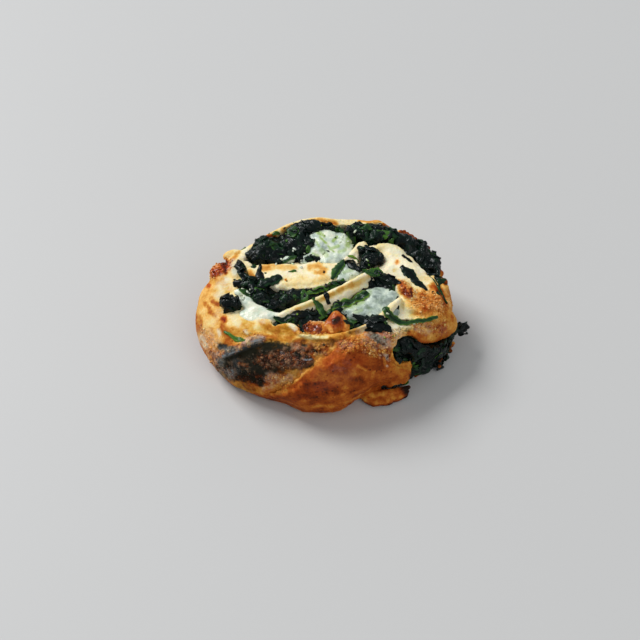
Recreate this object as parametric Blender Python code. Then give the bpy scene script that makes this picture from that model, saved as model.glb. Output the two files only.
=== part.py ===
"""Spinach pinwheel pastry.

A strip of soft dough, spread with cooked spinach and white cheese, is rolled up, laid on its cut side and
baked. The roll is one solid whose outer turn is a bun-like wall, broader at its foot than at its lip. The
spinach follows the winding from beside the core out to the torn opening at the front right. The strip's
loose end laps over the front of the wall, with a short tongue of dough under it. Cheese pools, spinach
clumps and one toasted knob sit in the top.

Plan places are measured from the middle of the winding, +X to the right and +Y away from the front, and
the whole is then shifted so that the origin is under the middle of the pastry's box. Tables are in
millimetres; everything in the scene is in metres.
"""

import math

import bmesh
import bpy
from mathutils import Matrix, Vector

MM = 0.001
GAP = 0.3
MIDDLE = Vector((4.01, 0.33, 0.0))

# The bun's outline at twelve even directions, from +X counter-clockwise: the radius and height of its
# belly, and the radius and height of the lip where the wall turns into the top.
BELLY_RADIUS = (60.5, 59.0, 52.0, 47.0, 46.5, 52.5, 58.6, 55.6, 47.0, 43.8, 43.0, 49.5)
BELLY_HEIGHT = (15, 15, 15, 14, 14, 14, 13, 11, 8, 7, 7, 11)
LIP_RADIUS = (52.0, 55.0, 49.0, 43.0, 42.0, 44.5, 44.5, 41.0, 31.5, 28.0, 27.5, 38.5)
LIP_HEIGHT = (28.0, 30.0, 32.0, 33.0, 31.5, 29.5, 30.0, 30.0, 31.0, 32.0, 32.0, 29.0)
CROWN_HEIGHT = 32.5
FOOT_INSET = 4.0
WALL_COLUMNS = 64
WALL_RINGS = 11
TOP_RINGS = 6

# The filling between the turns, from beside the core outwards: x, y, half width and top height. Where
# the top is lower than COVERED, crust closes over it.
SPIRAL_FILLING = (
    (11.0, 8.4, 1.2, 31.5),
    (3.0, 3.9, 1.5, 32.0),
    (-8.5, -1.5, 2.6, 32.5),
    (-19.0, -5.0, 4.2, 33.0),
    (-29.5, -2.0, 5.6, 33.0),
    (-34.0, 7.0, 5.4, 32.5),
    (-31.5, 17.5, 5.6, 33.0),
    (-23.5, 26.0, 8.0, 34.5),
    (-11.0, 29.5, 9.6, 35.0),
    (3.5, 30.0, 9.8, 33.0),
    (15.0, 33.0, 7.2, 34.5),
    (25.5, 34.5, 5.6, 35.0),
    (36.0, 31.5, 5.4, 34.0),
    (45.0, 24.0, 5.4, 32.0),
    (50.5, 14.0, 4.0, 29.0),
    (53.5, 3.5, 3.0, 20.0),
    (53.0, -6.0, 4.2, 18.0),
    (48.5, -14.8, 6.4, 21.0),
    (40.5, -20.0, 5.8, 25.0),
    (32.5, -23.5, 4.2, 25.0),
)
# A second, shorter pocket of filling between the inner strip of dough and the front lip.
FRONT_FILLING = (
    (26.0, 3.0, 6.0, 31.0),
    (22.5, -5.5, 9.6, 31.0),
    (15.5, -11.5, 8.8, 31.5),
    (5.5, -14.2, 7.2, 31.5),
    (-6.0, -15.6, 5.8, 32.0),
    (-15.5, -16.8, 3.6, 32.0),
    (-20.5, -17.4, 1.8, 31.5),
)
COVERED = 26.0
FILLING_FLOOR = 0.6
STEPS_PER_SPAN = 3
CLEAR_OF_TOP = 12.0

# Lumps pressed into the top: centre, half sizes and turn in degrees about +Z.
LUMPS = {
    "cheese_back": ((4.0, 28.0, 31.0), (9.0, 9.0, 3.6), 12),
    "cheese_core": ((11.8, 11.6, 30.5), (5.6, 4.6, 3.4), 20),
    "cheese_right": ((22.5, -5.0, 28.6), (9.6, 11.0, 4.0), 25),
    "cheese_left": ((-29.0, -11.6, 30.6), (9.0, 3.2, 3.4), -33),
    "spinach_left": ((-40.5, -7.6, 30.0), (5.6, 5.4, 5.0), 0),
    "spinach_right": ((22.5, 19.6, 32.0), (7.0, 6.0, 4.6), 15),
    "toasted_knob": ((5.4, -17.6, 30.0), (4.8, 6.0, 5.6), -12),
}
TUFT = ((62.6, -4.0, 9.5), (4.4, 2.9, 2.6), 18)
TONGUE = ((28.0, -37.6, 3.9), (12.4, 4.6, 3.9), 6)

# The loose end of the strip, lapped over the front wall between two directions, in degrees. Its upper
# edge climbs from the foot at its free end to the lip.
LAP_FROM, LAP_TO = 231.0, 319.0
LAP_THICKNESS = 2.6
LAP_FOOT = (1.2, 8.6)
LAP_EDGE = (6.0, 11.5, 17.0, 23.5, 28.0, 29.8, 29.0, 26.0, 19.0)
LAP_COLUMNS = 32
LAP_ROWS = 8

COLOURS = {
    "dough": ((0.62, 0.33, 0.11), 0.62),
    "spinach": ((0.012, 0.035, 0.014), 0.40),
    "cheese": ((0.74, 0.78, 0.66), 0.32),
    "toasted": ((0.45, 0.15, 0.03), 0.55),
}


def clear_scene():
    """Empty the scene of whatever it starts with."""
    for obj in list(bpy.data.objects):
        bpy.data.objects.remove(obj, do_unlink=True)


def finish_material(name, finish):
    """A plain Principled material in one of the named colours."""
    colour, roughness = COLOURS[finish]
    material = bpy.data.materials.new(name)
    material.use_nodes = True
    shader = material.node_tree.nodes["Principled BSDF"]
    shader.inputs["Base Color"].default_value = (*colour, 1.0)
    shader.inputs["Roughness"].default_value = roughness
    shader.inputs["Metallic"].default_value = 0.0
    return material


def catmull_rom(before, start, end, after, t):
    """The smooth curve through start and end, at t from 0 to 1."""
    return 0.5 * (
        2 * start
        + (end - before) * t
        + (2 * before - 5 * start + 4 * end - after) * t * t
        + (3 * start - before - 3 * end + after) * t ** 3
    )


def around(values, angle):
    """One of the outline tables at an angle in radians, smooth all the way round."""
    place = (angle / math.tau) % 1.0 * len(values)
    first = int(place)
    near = [values[(first + offset) % len(values)] for offset in (-1, 0, 1, 2)]
    return catmull_rom(*near, place - first)


def along(values, share):
    """A table read along its length, share from 0 to 1."""
    place = min(max(share, 0.0), 1.0) * (len(values) - 1)
    first = min(int(place), len(values) - 2)
    last = len(values) - 1
    near = [values[min(max(first + offset, 0), last)] for offset in (-1, 0, 1, 2)]
    return catmull_rom(*near, place - first)


def wall_radius(angle, height):
    """The bun's outer radius: drawn in at the foot, widest at the belly, rounded over into the lip."""
    belly, belly_height = around(BELLY_RADIUS, angle), around(BELLY_HEIGHT, angle)
    lip, lip_height = around(LIP_RADIUS, angle), around(LIP_HEIGHT, angle)
    if height < belly_height:
        return belly - FOOT_INSET * (1 - height / belly_height) ** 2
    rise = min((height - belly_height) / (lip_height - belly_height), 1.0)
    return lip + (belly - lip) * math.sqrt(1 - rise ** 2.4)


def top_height(angle, share):
    """The height of the bun's top, share from 0 at the middle to 1 at the lip."""
    lip_height = around(LIP_HEIGHT, angle)
    return CROWN_HEIGHT + (lip_height - CROWN_HEIGHT) * share ** 2


def polar(angle, radius, height):
    """A point of the pastry in metres, about its own origin."""
    return (Vector((radius * math.cos(angle), radius * math.sin(angle), height)) - MIDDLE) * MM


def new_object(name, mesh_builder, finish):
    """An object from a filled bmesh, with its normals outwards and its material."""
    bmesh.ops.recalc_face_normals(mesh_builder, faces=mesh_builder.faces)
    mesh = bpy.data.meshes.new(name)
    mesh_builder.to_mesh(mesh)
    mesh_builder.free()
    mesh.shade_smooth()
    mesh.set_sharp_from_angle(angle=math.radians(50))
    obj = bpy.data.objects.new(name, mesh)
    bpy.context.scene.collection.objects.link(obj)
    mesh.materials.append(finish_material(name, finish))
    return obj


def bridge(builder, rings):
    """Quads between neighbouring closed rings of vertices."""
    for lower, upper in zip(rings, rings[1:]):
        count = len(lower)
        for i in range(count):
            j = (i + 1) % count
            builder.faces.new((lower[i], lower[j], upper[j], upper[i]))


def build_bun():
    """The whole roll before the filling is cut out of it."""
    builder = bmesh.new()
    angles = [math.tau * i / WALL_COLUMNS for i in range(WALL_COLUMNS)]
    rings = []
    for k in range(WALL_RINGS + 1):
        share = math.sin(0.5 * math.pi * k / WALL_RINGS)
        ring = []
        for angle in angles:
            height = share * around(LIP_HEIGHT, angle)
            ring.append(builder.verts.new(polar(angle, wall_radius(angle, height), height)))
        rings.append(ring)
    for k in range(1, TOP_RINGS):
        share = 1 - k / TOP_RINGS
        rings.append(
            [
                builder.verts.new(polar(angle, share * around(LIP_RADIUS, angle), top_height(angle, share)))
                for angle in angles
            ]
        )
    bridge(builder, rings)
    builder.faces.new(rings[0])
    crown = builder.verts.new(polar(0.0, 0.0, CROWN_HEIGHT))
    for i in range(WALL_COLUMNS):
        builder.faces.new((rings[-1][i], rings[-1][(i + 1) % WALL_COLUMNS], crown))
    return new_object("dough_roll", builder, "dough")


def stations_between(stations):
    """The filling's stations with smooth ones added between them."""
    smooth = []
    last = len(stations) - 1
    for first in range(last):
        near = [stations[min(max(first + offset, 0), last)] for offset in (-1, 0, 1, 2)]
        for step in range(STEPS_PER_SPAN):
            t = step / STEPS_PER_SPAN
            smooth.append(tuple(catmull_rom(*values, t) for values in zip(*near)))
    smooth.append(tuple(float(value) for value in stations[-1]))
    return smooth


def heap(x, y):
    """How far the filling's top stands above or below its level, in soft heaps."""
    return 0.8 * math.sin(0.43 * x + 0.9) * math.cos(0.51 * y - 0.4) + 0.5 * math.sin(0.83 * (x + y))


def build_filling(name, stations, grow=0.0, cutter=False):
    """A band of filling along its stations, or the larger cutter that makes its place in the dough."""
    builder = bmesh.new()
    smooth = stations_between(stations)
    rings = []
    for index, (x, y, half, top) in enumerate(smooth):
        ahead, behind = smooth[min(index + 1, len(smooth) - 1)], smooth[max(index - 1, 0)]
        run = Vector((ahead[0] - behind[0], ahead[1] - behind[1])).normalized()
        side = Vector((-run.y, run.x))
        centre = Vector((x, y))
        if index in (0, len(smooth) - 1):
            centre -= run * grow * (1 if index == 0 else -1)
        half += grow
        open_top = cutter and top > COVERED
        top += heap(x, y)
        level = top + (CLEAR_OF_TOP if open_top else grow)
        floor = -1.0 if cutter else FILLING_FLOOR
        shoulder = 0.0 if open_top else min(1.8, 0.5 * half)
        section = (
            (-half, floor),
            (-half, level - 1.6 * shoulder),
            (-half + 0.5 * shoulder, level - 0.6 * shoulder),
            (-0.4 * half, level),
            (0.4 * half, level),
            (half - 0.5 * shoulder, level - 0.6 * shoulder),
            (half, level - 1.6 * shoulder),
            (half, floor),
        )
        ring = []
        for across, height in section:
            place = centre + side * across
            ring.append(builder.verts.new((Vector((place.x, place.y, height)) - MIDDLE) * MM))
        rings.append(ring)
    bridge(builder, rings)
    builder.faces.new(rings[0])
    builder.faces.new(reversed(rings[-1]))
    return new_object(name, builder, "spinach")


def build_lump(name, centre, halves, turn, finish, grow=0.0, segments=16, rings=10, open_top=False):
    """A rounded uneven lump: a ball with soft dents, pressed to its half sizes. A place for one in the
    top is open upwards from its widest level."""
    builder = bmesh.new()
    bmesh.ops.create_uvsphere(builder, u_segments=segments, v_segments=rings, radius=1.0)
    spin = Matrix.Rotation(math.radians(turn), 3, "Z")
    for vertex in builder.verts:
        x, y, z = vertex.co
        dent = 1 - 0.05 - 0.05 * math.sin(3.1 * x + 1.3 * centre[0]) * math.cos(2.7 * y + centre[1])
        dent += 0.04 * math.sin(4.3 * y + 2.0 * z)
        if open_top and z > 0.01:
            spread = max(math.hypot(x, y), 0.01)
            x, y, z = x / spread, y / spread, z + CLEAR_OF_TOP / halves[2]
            if spread < 0.02:
                x = y = 0.0
        shaped = Vector((x * (halves[0] * dent + grow), y * (halves[1] * dent + grow), z * (halves[2] + grow)))
        vertex.co = (spin @ shaped + Vector(centre) - MIDDLE) * MM
    return new_object(name, builder, finish)


def build_lap():
    """The strip's loose end: a sheet that follows the wall and ends in a slanting edge."""
    builder = bmesh.new()
    rings = []
    for column in range(LAP_COLUMNS + 1):
        share = column / LAP_COLUMNS
        angle = math.radians(LAP_FROM + (LAP_TO - LAP_FROM) * share)
        edge = along(LAP_EDGE, share)
        foot = LAP_FOOT[0] + (LAP_FOOT[1] - LAP_FOOT[0]) * min(max((share - 0.55) / 0.2, 0.0), 1.0)
        taper = min(1.0, 0.35 + 6 * share, 0.5 + 6 * (1 - share))
        inner, outer = [], []
        for row in range(LAP_ROWS + 1):
            rise = row / LAP_ROWS
            height = foot + (edge - foot) * rise
            base = wall_radius(angle, height) + GAP + 0.1
            bulge = LAP_THICKNESS * taper * (0.45 + 0.55 * math.sin(math.pi * min(max(rise, 0.06), 0.94)) ** 0.5)
            inner.append(builder.verts.new(polar(angle, base, height)))
            outer.append(builder.verts.new(polar(angle, base + bulge, height)))
        rings.append(inner + outer[::-1])
    bridge(builder, rings)
    builder.faces.new(rings[0])
    builder.faces.new(reversed(rings[-1]))
    return new_object("dough_flap", builder, "dough")


def cut(target, cutter):
    """Take a helper shape out of a piece, and keep the helper out of sight."""
    cutter.hide_render = True
    cutter.display_type = "WIRE"
    modifier = target.modifiers.new("cut " + cutter.name, "BOOLEAN")
    modifier.operation = "DIFFERENCE"
    modifier.solver = "EXACT"
    modifier.object = cutter


def lump_finish(name):
    """The finish that a lump's name asks for."""
    return name.split("_")[0]


def main():
    """Build every piece, then cut each one's place out of its neighbours."""
    clear_scene()
    roll = build_bun()
    spiral = build_filling("spinach_spiral", SPIRAL_FILLING)
    front = build_filling("spinach_front", FRONT_FILLING)
    placed = []
    for name, (centre, halves, turn) in LUMPS.items():
        place = build_lump(
            f"{name}.place", centre, halves, turn, lump_finish(name), grow=GAP, open_top=True
        )
        touched = [lump for lump, middle, reach in placed if math.dist(middle, centre) < reach + max(halves)]
        for target in (roll, spiral, front, *touched):
            cut(target, place)
        lump = build_lump(name, centre, halves, turn, lump_finish(name))
        placed.append((lump, centre, max(halves)))
    build_lump("spinach_tuft", *TUFT, "spinach", segments=12, rings=8)
    build_lump("dough_tail", *TONGUE, "dough", segments=24, rings=10)
    flap = build_lap()

    cut(roll, build_filling("spiral.place", SPIRAL_FILLING, grow=GAP, cutter=True))
    cut(roll, build_filling("front.place", FRONT_FILLING, grow=GAP, cutter=True))
    for name, (centre, halves, turn) in {"tuft": TUFT, "tongue": TONGUE}.items():
        place = build_lump(f"{name}.place", centre, halves, turn, "dough", grow=GAP)
        for target in (roll, spiral, flap):
            cut(target, place)


main()
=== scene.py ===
"""Spinach pinwheel pastry: the looks of every surface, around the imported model.

The dough, the spinach and the cheese are sculpted as soft clay on a grid of distances, from the same
outline and stations as the solids, then roughened along their normals and dressed with procedural
finishes. Cooked leaves, stems, flecks and crumbs are laid on top as real mesh.

Plan places are in millimetres from the middle of the winding, +X to the right and +Y away from the front.
Meshes are written in metres about the part's own origin.
"""

import logging
import math
from dataclasses import dataclass, field
from enum import Enum
from typing import Any, ClassVar, Iterable, Protocol, Sequence

import bmesh
import bpy
import numpy as np
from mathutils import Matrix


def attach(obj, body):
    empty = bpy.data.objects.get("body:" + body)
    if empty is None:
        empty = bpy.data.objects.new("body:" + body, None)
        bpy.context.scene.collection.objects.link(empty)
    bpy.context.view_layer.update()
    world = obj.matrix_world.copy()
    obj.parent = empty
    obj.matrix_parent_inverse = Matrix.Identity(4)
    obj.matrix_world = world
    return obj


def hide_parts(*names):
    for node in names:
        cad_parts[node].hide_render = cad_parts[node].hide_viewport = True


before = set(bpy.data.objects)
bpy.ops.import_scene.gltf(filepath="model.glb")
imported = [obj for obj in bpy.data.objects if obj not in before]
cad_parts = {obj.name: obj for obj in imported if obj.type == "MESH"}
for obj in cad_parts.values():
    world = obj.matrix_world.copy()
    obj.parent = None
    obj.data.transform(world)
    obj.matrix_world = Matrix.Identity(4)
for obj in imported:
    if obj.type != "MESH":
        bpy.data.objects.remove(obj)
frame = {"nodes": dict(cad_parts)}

import openvdb
from mathutils import Vector, noise
from mathutils.bvhtree import BVHTree

Array = np.ndarray
Pair = tuple[Array, Array]
Places = Sequence[Array]
Triple = tuple[float, float, float]
Colour = Triple
Window = tuple[slice, slice, slice]
Stops = tuple[tuple[float, Colour], ...]
Strokes = tuple[tuple[float, ...], ...]
Piece = bpy.types.Object
Material = bpy.types.Material
NodeTree = bpy.types.NodeTree
Node = bpy.types.Node
Socket = bpy.types.NodeSocket
Outputs = bpy.types.NodeOutputs
Feed = Socket | float
Inputs = dict[str | int, Any]

log = logging.getLogger("pinwheel")

MM = 0.001  # metres in a millimetre
MIDDLE = np.array((4.01, 0.33, 0))  # the part's origin in the plan
BODY = "root"
FAR = 4.0  # the largest distance that clay keeps, in millimetres


class Slot(Enum):
    """The record's material slots."""

    CRUST = "crust"
    SPINACH = "spinach"
    CHEESE = "cheese"
    TOASTED = "toasted"


def to_metres(points: Array) -> Array:
    """Plan points in millimetres as the part's own metres."""
    return (points - MIDDLE) * MM


def smooth_step(low: float, high: float, value: Array) -> Array:
    """A soft step from 0 at low to 1 at high."""
    t = np.clip((value - low) / (high - low), 0, 1)
    return t * t * (3 - 2 * t)


def soft_min(a: Array, b: Array, blend: float) -> Array:
    """The smaller of two distances, rounded over where they are close.

    Args:
        a: One distance.
        b: The other.
        blend: How close they are where the rounding starts. There is none where it is 0.

    Returns:
        The rounded smaller distance.
    """
    if blend <= 0:
        return np.minimum(a, b)
    h = np.clip(0.5 + 0.5 * (b - a) / blend, 0, 1)
    return b + (a - b) * h - blend * h * (1 - h)


def soft_max(a: Array, b: Array, blend: float) -> Array:
    """The larger of two distances, rounded in the same way."""
    return -soft_min(-a, -b, blend)


def catmull_rom(before: Array, start: Array, end: Array, after: Array, t: Array) -> Array:
    """The smooth curve through start and end, at t from 0 to 1."""
    bend, twist = 2 * before - 5 * start + 4 * end - after, 3 * start - before - 3 * end + after
    return 0.5 * (2 * start + (end - before) * t + bend * t * t + twist * t ** 3)


def read_around(values: Sequence[float], angle: Array) -> Array:
    """Read a table of even directions at some angles.

    Args:
        values: One value for each even direction, from +X counter-clockwise.
        angle: Angles in radians.

    Returns:
        The values there, smooth all the way round.
    """
    table = np.asarray(values, float)
    place = (angle / math.tau) % 1 * len(table)
    first = np.floor(place).astype(int)
    near = [table[(first + offset) % len(table)] for offset in (-1, 0, 1, 2)]
    return catmull_rom(*near, place - first)


def read_along(values: Sequence[float], share: Array) -> Array:
    """Read a table along its length.

    Args:
        values: The table.
        share: Places from 0 at its start to 1 at its end.

    Returns:
        The values there, smoothly joined.
    """
    table = np.asarray(values, float)
    last = len(table) - 1
    place = np.clip(share, 0, 1) * last
    first = np.minimum(np.floor(place).astype(int), last - 1)
    near = [table[np.clip(first + offset, 0, last)] for offset in (-1, 0, 1, 2)]
    return catmull_rom(*near, place - first)


def smooth_path(points: Sequence[Sequence[float]], per_span: int) -> Array:
    """Add smooth points between a path's own points.

    Args:
        points: The path's points, each with any number of values.
        per_span: How many steps each span becomes.

    Returns:
        The finer path, one row for each point.
    """
    own = np.asarray(points, float)
    steps = np.linspace(0, 1, (len(own) - 1) * per_span + 1)
    return np.stack([read_along(own[:, k], steps) for k in range(own.shape[1])], axis=1)


class Ripple:
    """A smooth random field: plane waves of about one length, added up."""

    def __init__(self, seed: int, length: float, waves: int = 9) -> None:
        """Draw the waves' directions and phases.

        Args:
            seed: The seed of the draw.
            length: The waves' length in millimetres.
            waves: How many are added.
        """
        draw = np.random.default_rng(seed)
        towards = draw.normal(size=(waves, 3))
        towards /= np.linalg.norm(towards, axis=1, keepdims=True)
        self.turns = towards * math.tau / (length * draw.uniform(0.7, 1.4, (waves, 1)))
        self.phases = draw.uniform(0, math.tau, waves)

    def __call__(self, at: Places) -> Array:
        """The field at some places, about -1 to 1.

        Args:
            at: The places, in plan millimetres.

        Returns:
            The field there.
        """
        x, y, z = at
        total = 0
        for (a, b, c), phase in zip(self.turns, self.phases):
            total = total + np.sin(a * x + b * y + c * z + phase)
        return total / math.sqrt(len(self.phases) * 1.4)


class Shape(Protocol):
    """What clay is made of: something with a box that it stays in and a distance from any place."""

    def box(self) -> Pair:
        """The lowest and highest corners of what it may fill."""

    def distance(self, at: Places) -> Array:
        """The distance from its surface, negative inside."""


@dataclass(frozen=True)
class Lump:
    """An ellipsoid, turned about +Z and then leaned about its own long axis."""

    centre: Triple
    halves: Triple
    turn: float = 0
    lean: float = 0

    def box(self) -> Pair:
        """The lowest and highest corners of what it may fill."""
        reach = max(self.halves)
        return np.array(self.centre) - reach, np.array(self.centre) + reach

    def distance(self, at: Places) -> Array:
        """The distance from its surface, negative inside.

        Args:
            at: The places, in plan millimetres.

        Returns:
            The distances, in millimetres.
        """
        x, y, z = at
        turn, lean = math.radians(self.turn), math.radians(self.lean)
        dx, dy, dz = x - self.centre[0], y - self.centre[1], z - self.centre[2]
        u = dx * math.cos(turn) + dy * math.sin(turn)
        v = -dx * math.sin(turn) + dy * math.cos(turn)
        v, w = v * math.cos(lean) + dz * math.sin(lean), -v * math.sin(lean) + dz * math.cos(lean)
        a, b, c = self.halves
        near = np.sqrt((u / a) ** 2 + (v / b) ** 2 + (w / c) ** 2)
        steep = np.sqrt((u / a ** 2) ** 2 + (v / b ** 2) ** 2 + (w / c ** 2) ** 2)
        return near * (near - 1) / np.maximum(steep, 1e-4)


@dataclass(frozen=True)
class Bead:
    """A rounded rope along points of x, y, z and radius. Flat is its height over its width."""

    points: tuple[tuple[float, float, float, float], ...]
    flat: float = 1

    def path(self) -> Array:
        """Its smooth path."""
        return smooth_path(self.points, 4)

    def box(self) -> Pair:
        """The lowest and highest corners of what it may fill."""
        path = self.path()
        return (path[:, :3] - path[:, 3:]).min(0), (path[:, :3] + path[:, 3:]).max(0)

    def distance(self, at: Places) -> Array:
        """The distance from its surface, negative inside.

        Args:
            at: The places, in plan millimetres.

        Returns:
            The distances, in millimetres.
        """
        x, y, z = at
        path = self.path()
        nearest = None
        for start, end in zip(path, path[1:]):
            run = end[:3] - start[:3]
            dx, dy, dz = x - start[0], y - start[1], z - start[2]
            t = np.clip((dx * run[0] + dy * run[1] + dz * run[2]) / max(run @ run, 1e-6), 0, 1)
            gap = (dx - t * run[0]) ** 2 + (dy - t * run[1]) ** 2 + ((dz - t * run[2]) / self.flat) ** 2
            found = np.sqrt(gap) - (start[3] + t * (end[3] - start[3]))
            nearest = found if nearest is None else np.minimum(nearest, found)
        return nearest


@dataclass(frozen=True)
class Band:
    """A winding band of filling, from its stations of x, y, half width and top.

    depth is how far it goes down from its top, and closed stations, lower than covered, keep their top
    when the band is cut out of the dough. ragged is how uneven its sides are.
    """

    stations: tuple[tuple[float, float, float, float], ...]
    depth: float = 9
    grow: float = 0
    open_top: bool = False
    covered: float = 26
    ragged: float = 0.8
    seed: int = 5

    def path(self) -> Array:
        """Its smooth path."""
        return smooth_path(self.stations, 4)

    def box(self) -> Pair:
        """The lowest and highest corners of what it may fill.

        Returns:
            The two corners.
        """
        path = self.path()
        reach = path[:, 2:3] + self.grow + 2 * self.ragged
        low = np.append((path[:, :2] - reach).min(0), 0)
        high = np.append((path[:, :2] + reach).max(0), path[:, 3].max() + (8 if self.open_top else 2))
        return low, high

    def distance(self, at: Places) -> Array:
        """The distance from its surface, negative inside.

        Args:
            at: The places, in plan millimetres.

        Returns:
            The distances, in millimetres.
        """
        x, y, z = at
        path = self.path()
        side = top = None
        for start, end in zip(path, path[1:]):
            run = end[:2] - start[:2]
            dx, dy = x - start[0], y - start[1]
            t = np.clip((dx * run[0] + dy * run[1]) / max(run @ run, 1e-6), 0, 1)
            found = np.hypot(dx - t * run[0], dy - t * run[1]) - (start[2] + t * (end[2] - start[2]))
            level = start[3] + t * (end[3] - start[3])
            if side is None:
                side, top = found, level
            else:
                top = np.where(found < side, level, top)
                side = np.minimum(side, found)
        side = side - self.grow + self.ragged * Ripple(self.seed, 7)((x, y, 0.35 * z))
        above = z - top
        if self.open_top:
            above = above - 20 * smooth_step(self.covered, self.covered + 2, top)
        return soft_max(soft_max(side, above, 1.2), top - self.depth - z, 1)


@dataclass(frozen=True)
class Bun:
    """The roll's outer form: a wall that is broadest at its belly and rounds over into a low crown."""

    belly_radius: tuple[float, ...] = (59.4, 57.6, 52, 47, 46.5, 52.5, 58.4, 54.4, 46.4, 43.8, 43, 49.5)
    belly_height: tuple[float, ...] = (15, 15, 15, 14, 14, 14, 13, 11, 8, 7, 7, 11)
    lip_radius: tuple[float, ...] = (47.6, 51.4, 49, 43, 42, 44.5, 44.5, 41, 31.5, 28, 27.5, 38.5)
    lip_height: tuple[float, ...] = (28, 30, 32, 33, 31.5, 29.5, 30, 30, 31, 32, 32, 29)
    crown_height: float = 32.5
    foot_inset: float = 4

    def box(self) -> Pair:
        """The lowest and highest corners of what it may fill."""
        return np.array((-64, -52, -2)), np.array((66, 54, 40))

    def distance(self, at: Places) -> Array:
        """A measure that is zero on its surface, negative inside.

        Args:
            at: The places, in plan millimetres.

        Returns:
            About the distance, in millimetres.
        """
        x, y, z = at
        angle, radius = np.arctan2(y, x), np.hypot(x, y)
        belly, belly_height = read_around(self.belly_radius, angle), read_around(self.belly_height, angle)
        lip, lip_height = read_around(self.lip_radius, angle), read_around(self.lip_height, angle)
        share = np.clip(radius / lip, 0, 1)
        top = self.crown_height + (lip_height - self.crown_height) * share ** 2
        below = radius - belly + self.foot_inset * np.clip(1 - z / belly_height, 0, 1.2) ** 2
        rise = np.clip((z - belly_height) / (top - belly_height), 0, 2)
        out = np.clip((radius - lip) / (belly - lip), 0, 4)
        round_over = np.sqrt(out ** 2 + rise ** 2.4) - 1
        sideways = out ** 2 / np.maximum(out ** 2 + rise ** 2.4, 1e-6)
        above = round_over * (sideways * (belly - lip) + (1 - sideways) * (top - belly_height))
        body = np.where(z < belly_height, below, np.maximum(above, radius - belly))
        return np.maximum(body, -z)


def outline_distance(corners: Array, x: Array, y: Array) -> Array:
    """The distance from a polygon's edge, negative inside it.

    Args:
        corners: The polygon's corners, one row each.
        x: First coordinates of the places.
        y: Their second coordinates.

    Returns:
        The distance at each place.
    """
    nearest, inside = None, np.zeros(np.broadcast(x, y).shape, bool)
    for (ax, ay), (bx, by) in zip(corners, np.roll(corners, -1, 0)):
        run_x, run_y = bx - ax, by - ay
        t = np.clip(((x - ax) * run_x + (y - ay) * run_y) / (run_x ** 2 + run_y ** 2), 0, 1)
        away = np.hypot(x - ax - t * run_x, y - ay - t * run_y)
        nearest = away if nearest is None else np.minimum(nearest, away)
        if ay != by:
            inside ^= ((ay > y) != (by > y)) & (x < ax + (y - ay) * run_x / run_y)
    return np.where(inside, -nearest, nearest)


@dataclass(frozen=True)
class Lap:
    """The strip's loose end: a sheet over the bun's wall and shoulder, within an outline.

    The outline's corners are a direction in degrees and a climb, which is the height on the wall and goes
    on growing over the shoulder towards the lip.
    """

    bun: Bun
    outline: tuple[tuple[float, float], ...] = (
        (228, -3), (231, 2.6), (237, 6.8), (241.2, 10.6), (246.4, 15.9), (251.5, 20.8), (255, 24.4),
        (258.9, 27.7), (262, 31.1), (265.2, 34.6), (269.3, 36.6), (275, 38.3), (283.4, 41), (290.2, 42.5),
        (298.8, 43.4), (308, 43.5), (316, 42.7), (323, 40.5), (324, 37), (320, 32), (316, 28.6),
        (312.6, 25.6), (312.4, 23.4), (314.6, 19.6), (317.6, 15.4), (319, 11.6), (318.4, 9), (313, 8.4),
        (306, 9.6), (299, 9.6), (293, 7), (287, 2), (283, -3),
    )
    degree: float = 0.78
    thickness: float = 2.5

    def box(self) -> Pair:
        """The lowest and highest corners of what it may fill."""
        return np.array((-40, -52, -1)), np.array((46, -16, 36))

    def reach(self, at: Places) -> Array:
        """The distance from its outline, along the wall and over the shoulder.

        Args:
            at: The places, in plan millimetres.

        Returns:
            The distances, negative inside the outline.
        """
        x, y, z = at
        angle = np.arctan2(y, x)
        climb = z + 0.8 * (read_around(self.bun.belly_radius, angle) - np.hypot(x, y))
        corners = np.array(self.outline) * (self.degree, 1)
        frayed = 0.4 * np.sin(0.9 * x) + 0.25 * np.sin(2.3 * x + 1) + 0.3 * np.sin(1.7 * z)
        return outline_distance(corners, np.degrees(angle) % 360 * self.degree, climb) + frayed

    def distance(self, at: Places, wall: Array) -> Array:
        """The distance from its surface, given the distance from the bun's wall.

        Args:
            at: The places, in plan millimetres.
            wall: How far they are from the bun's wall.

        Returns:
            The distances, in millimetres.
        """
        reach, (x, _, z) = self.reach(at), at
        thin = smooth_step(15, 4, z) * smooth_step(-6, -18, x)
        thickness = (self.thickness * smooth_step(0.5, -6, reach) + 0.9) * (1 - 0.85 * thin)
        return soft_max(soft_max(wall - thickness, -1.2 - wall, 0.3), reach, 0.8)


@dataclass(frozen=True)
class Slab:
    """A flat piece with a polygon for its outline and a rounded, slightly ragged edge.

    slope is how its top rises with x and with y, about the middle of its corners.
    """

    outline: tuple[tuple[float, float], ...]
    top: float
    thickness: float
    rounding: float = 1.6
    ragged: float = 0.45
    seed: int = 3
    slope: tuple[float, float] = (0, 0)

    def box(self) -> Pair:
        """The lowest and highest corners of what it may fill.

        Returns:
            The two corners.
        """
        corners = np.array(self.outline)
        rise = np.abs((corners - corners.mean(0)) * self.slope).sum(1).max()
        low = np.append(corners.min(0) - 2, self.top - self.thickness - rise)
        return low, np.append(corners.max(0) + 2, self.top + 0.5 + rise)

    def distance(self, at: Places) -> Array:
        """The distance from its surface, negative inside.

        Args:
            at: The places, in plan millimetres.

        Returns:
            The distances, in millimetres.
        """
        x, y, z = at
        corners = np.array(self.outline)
        middle = corners.mean(0)
        side = outline_distance(corners, x, y) + self.ragged * Ripple(self.seed, 5)((x, y, 0 * x))
        top = self.top + self.slope[0] * (x - middle[0]) + self.slope[1] * (y - middle[1])
        level = np.abs(z - top + 0.5 * self.thickness) - 0.5 * self.thickness
        return soft_max(side, level, self.rounding)


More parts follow.
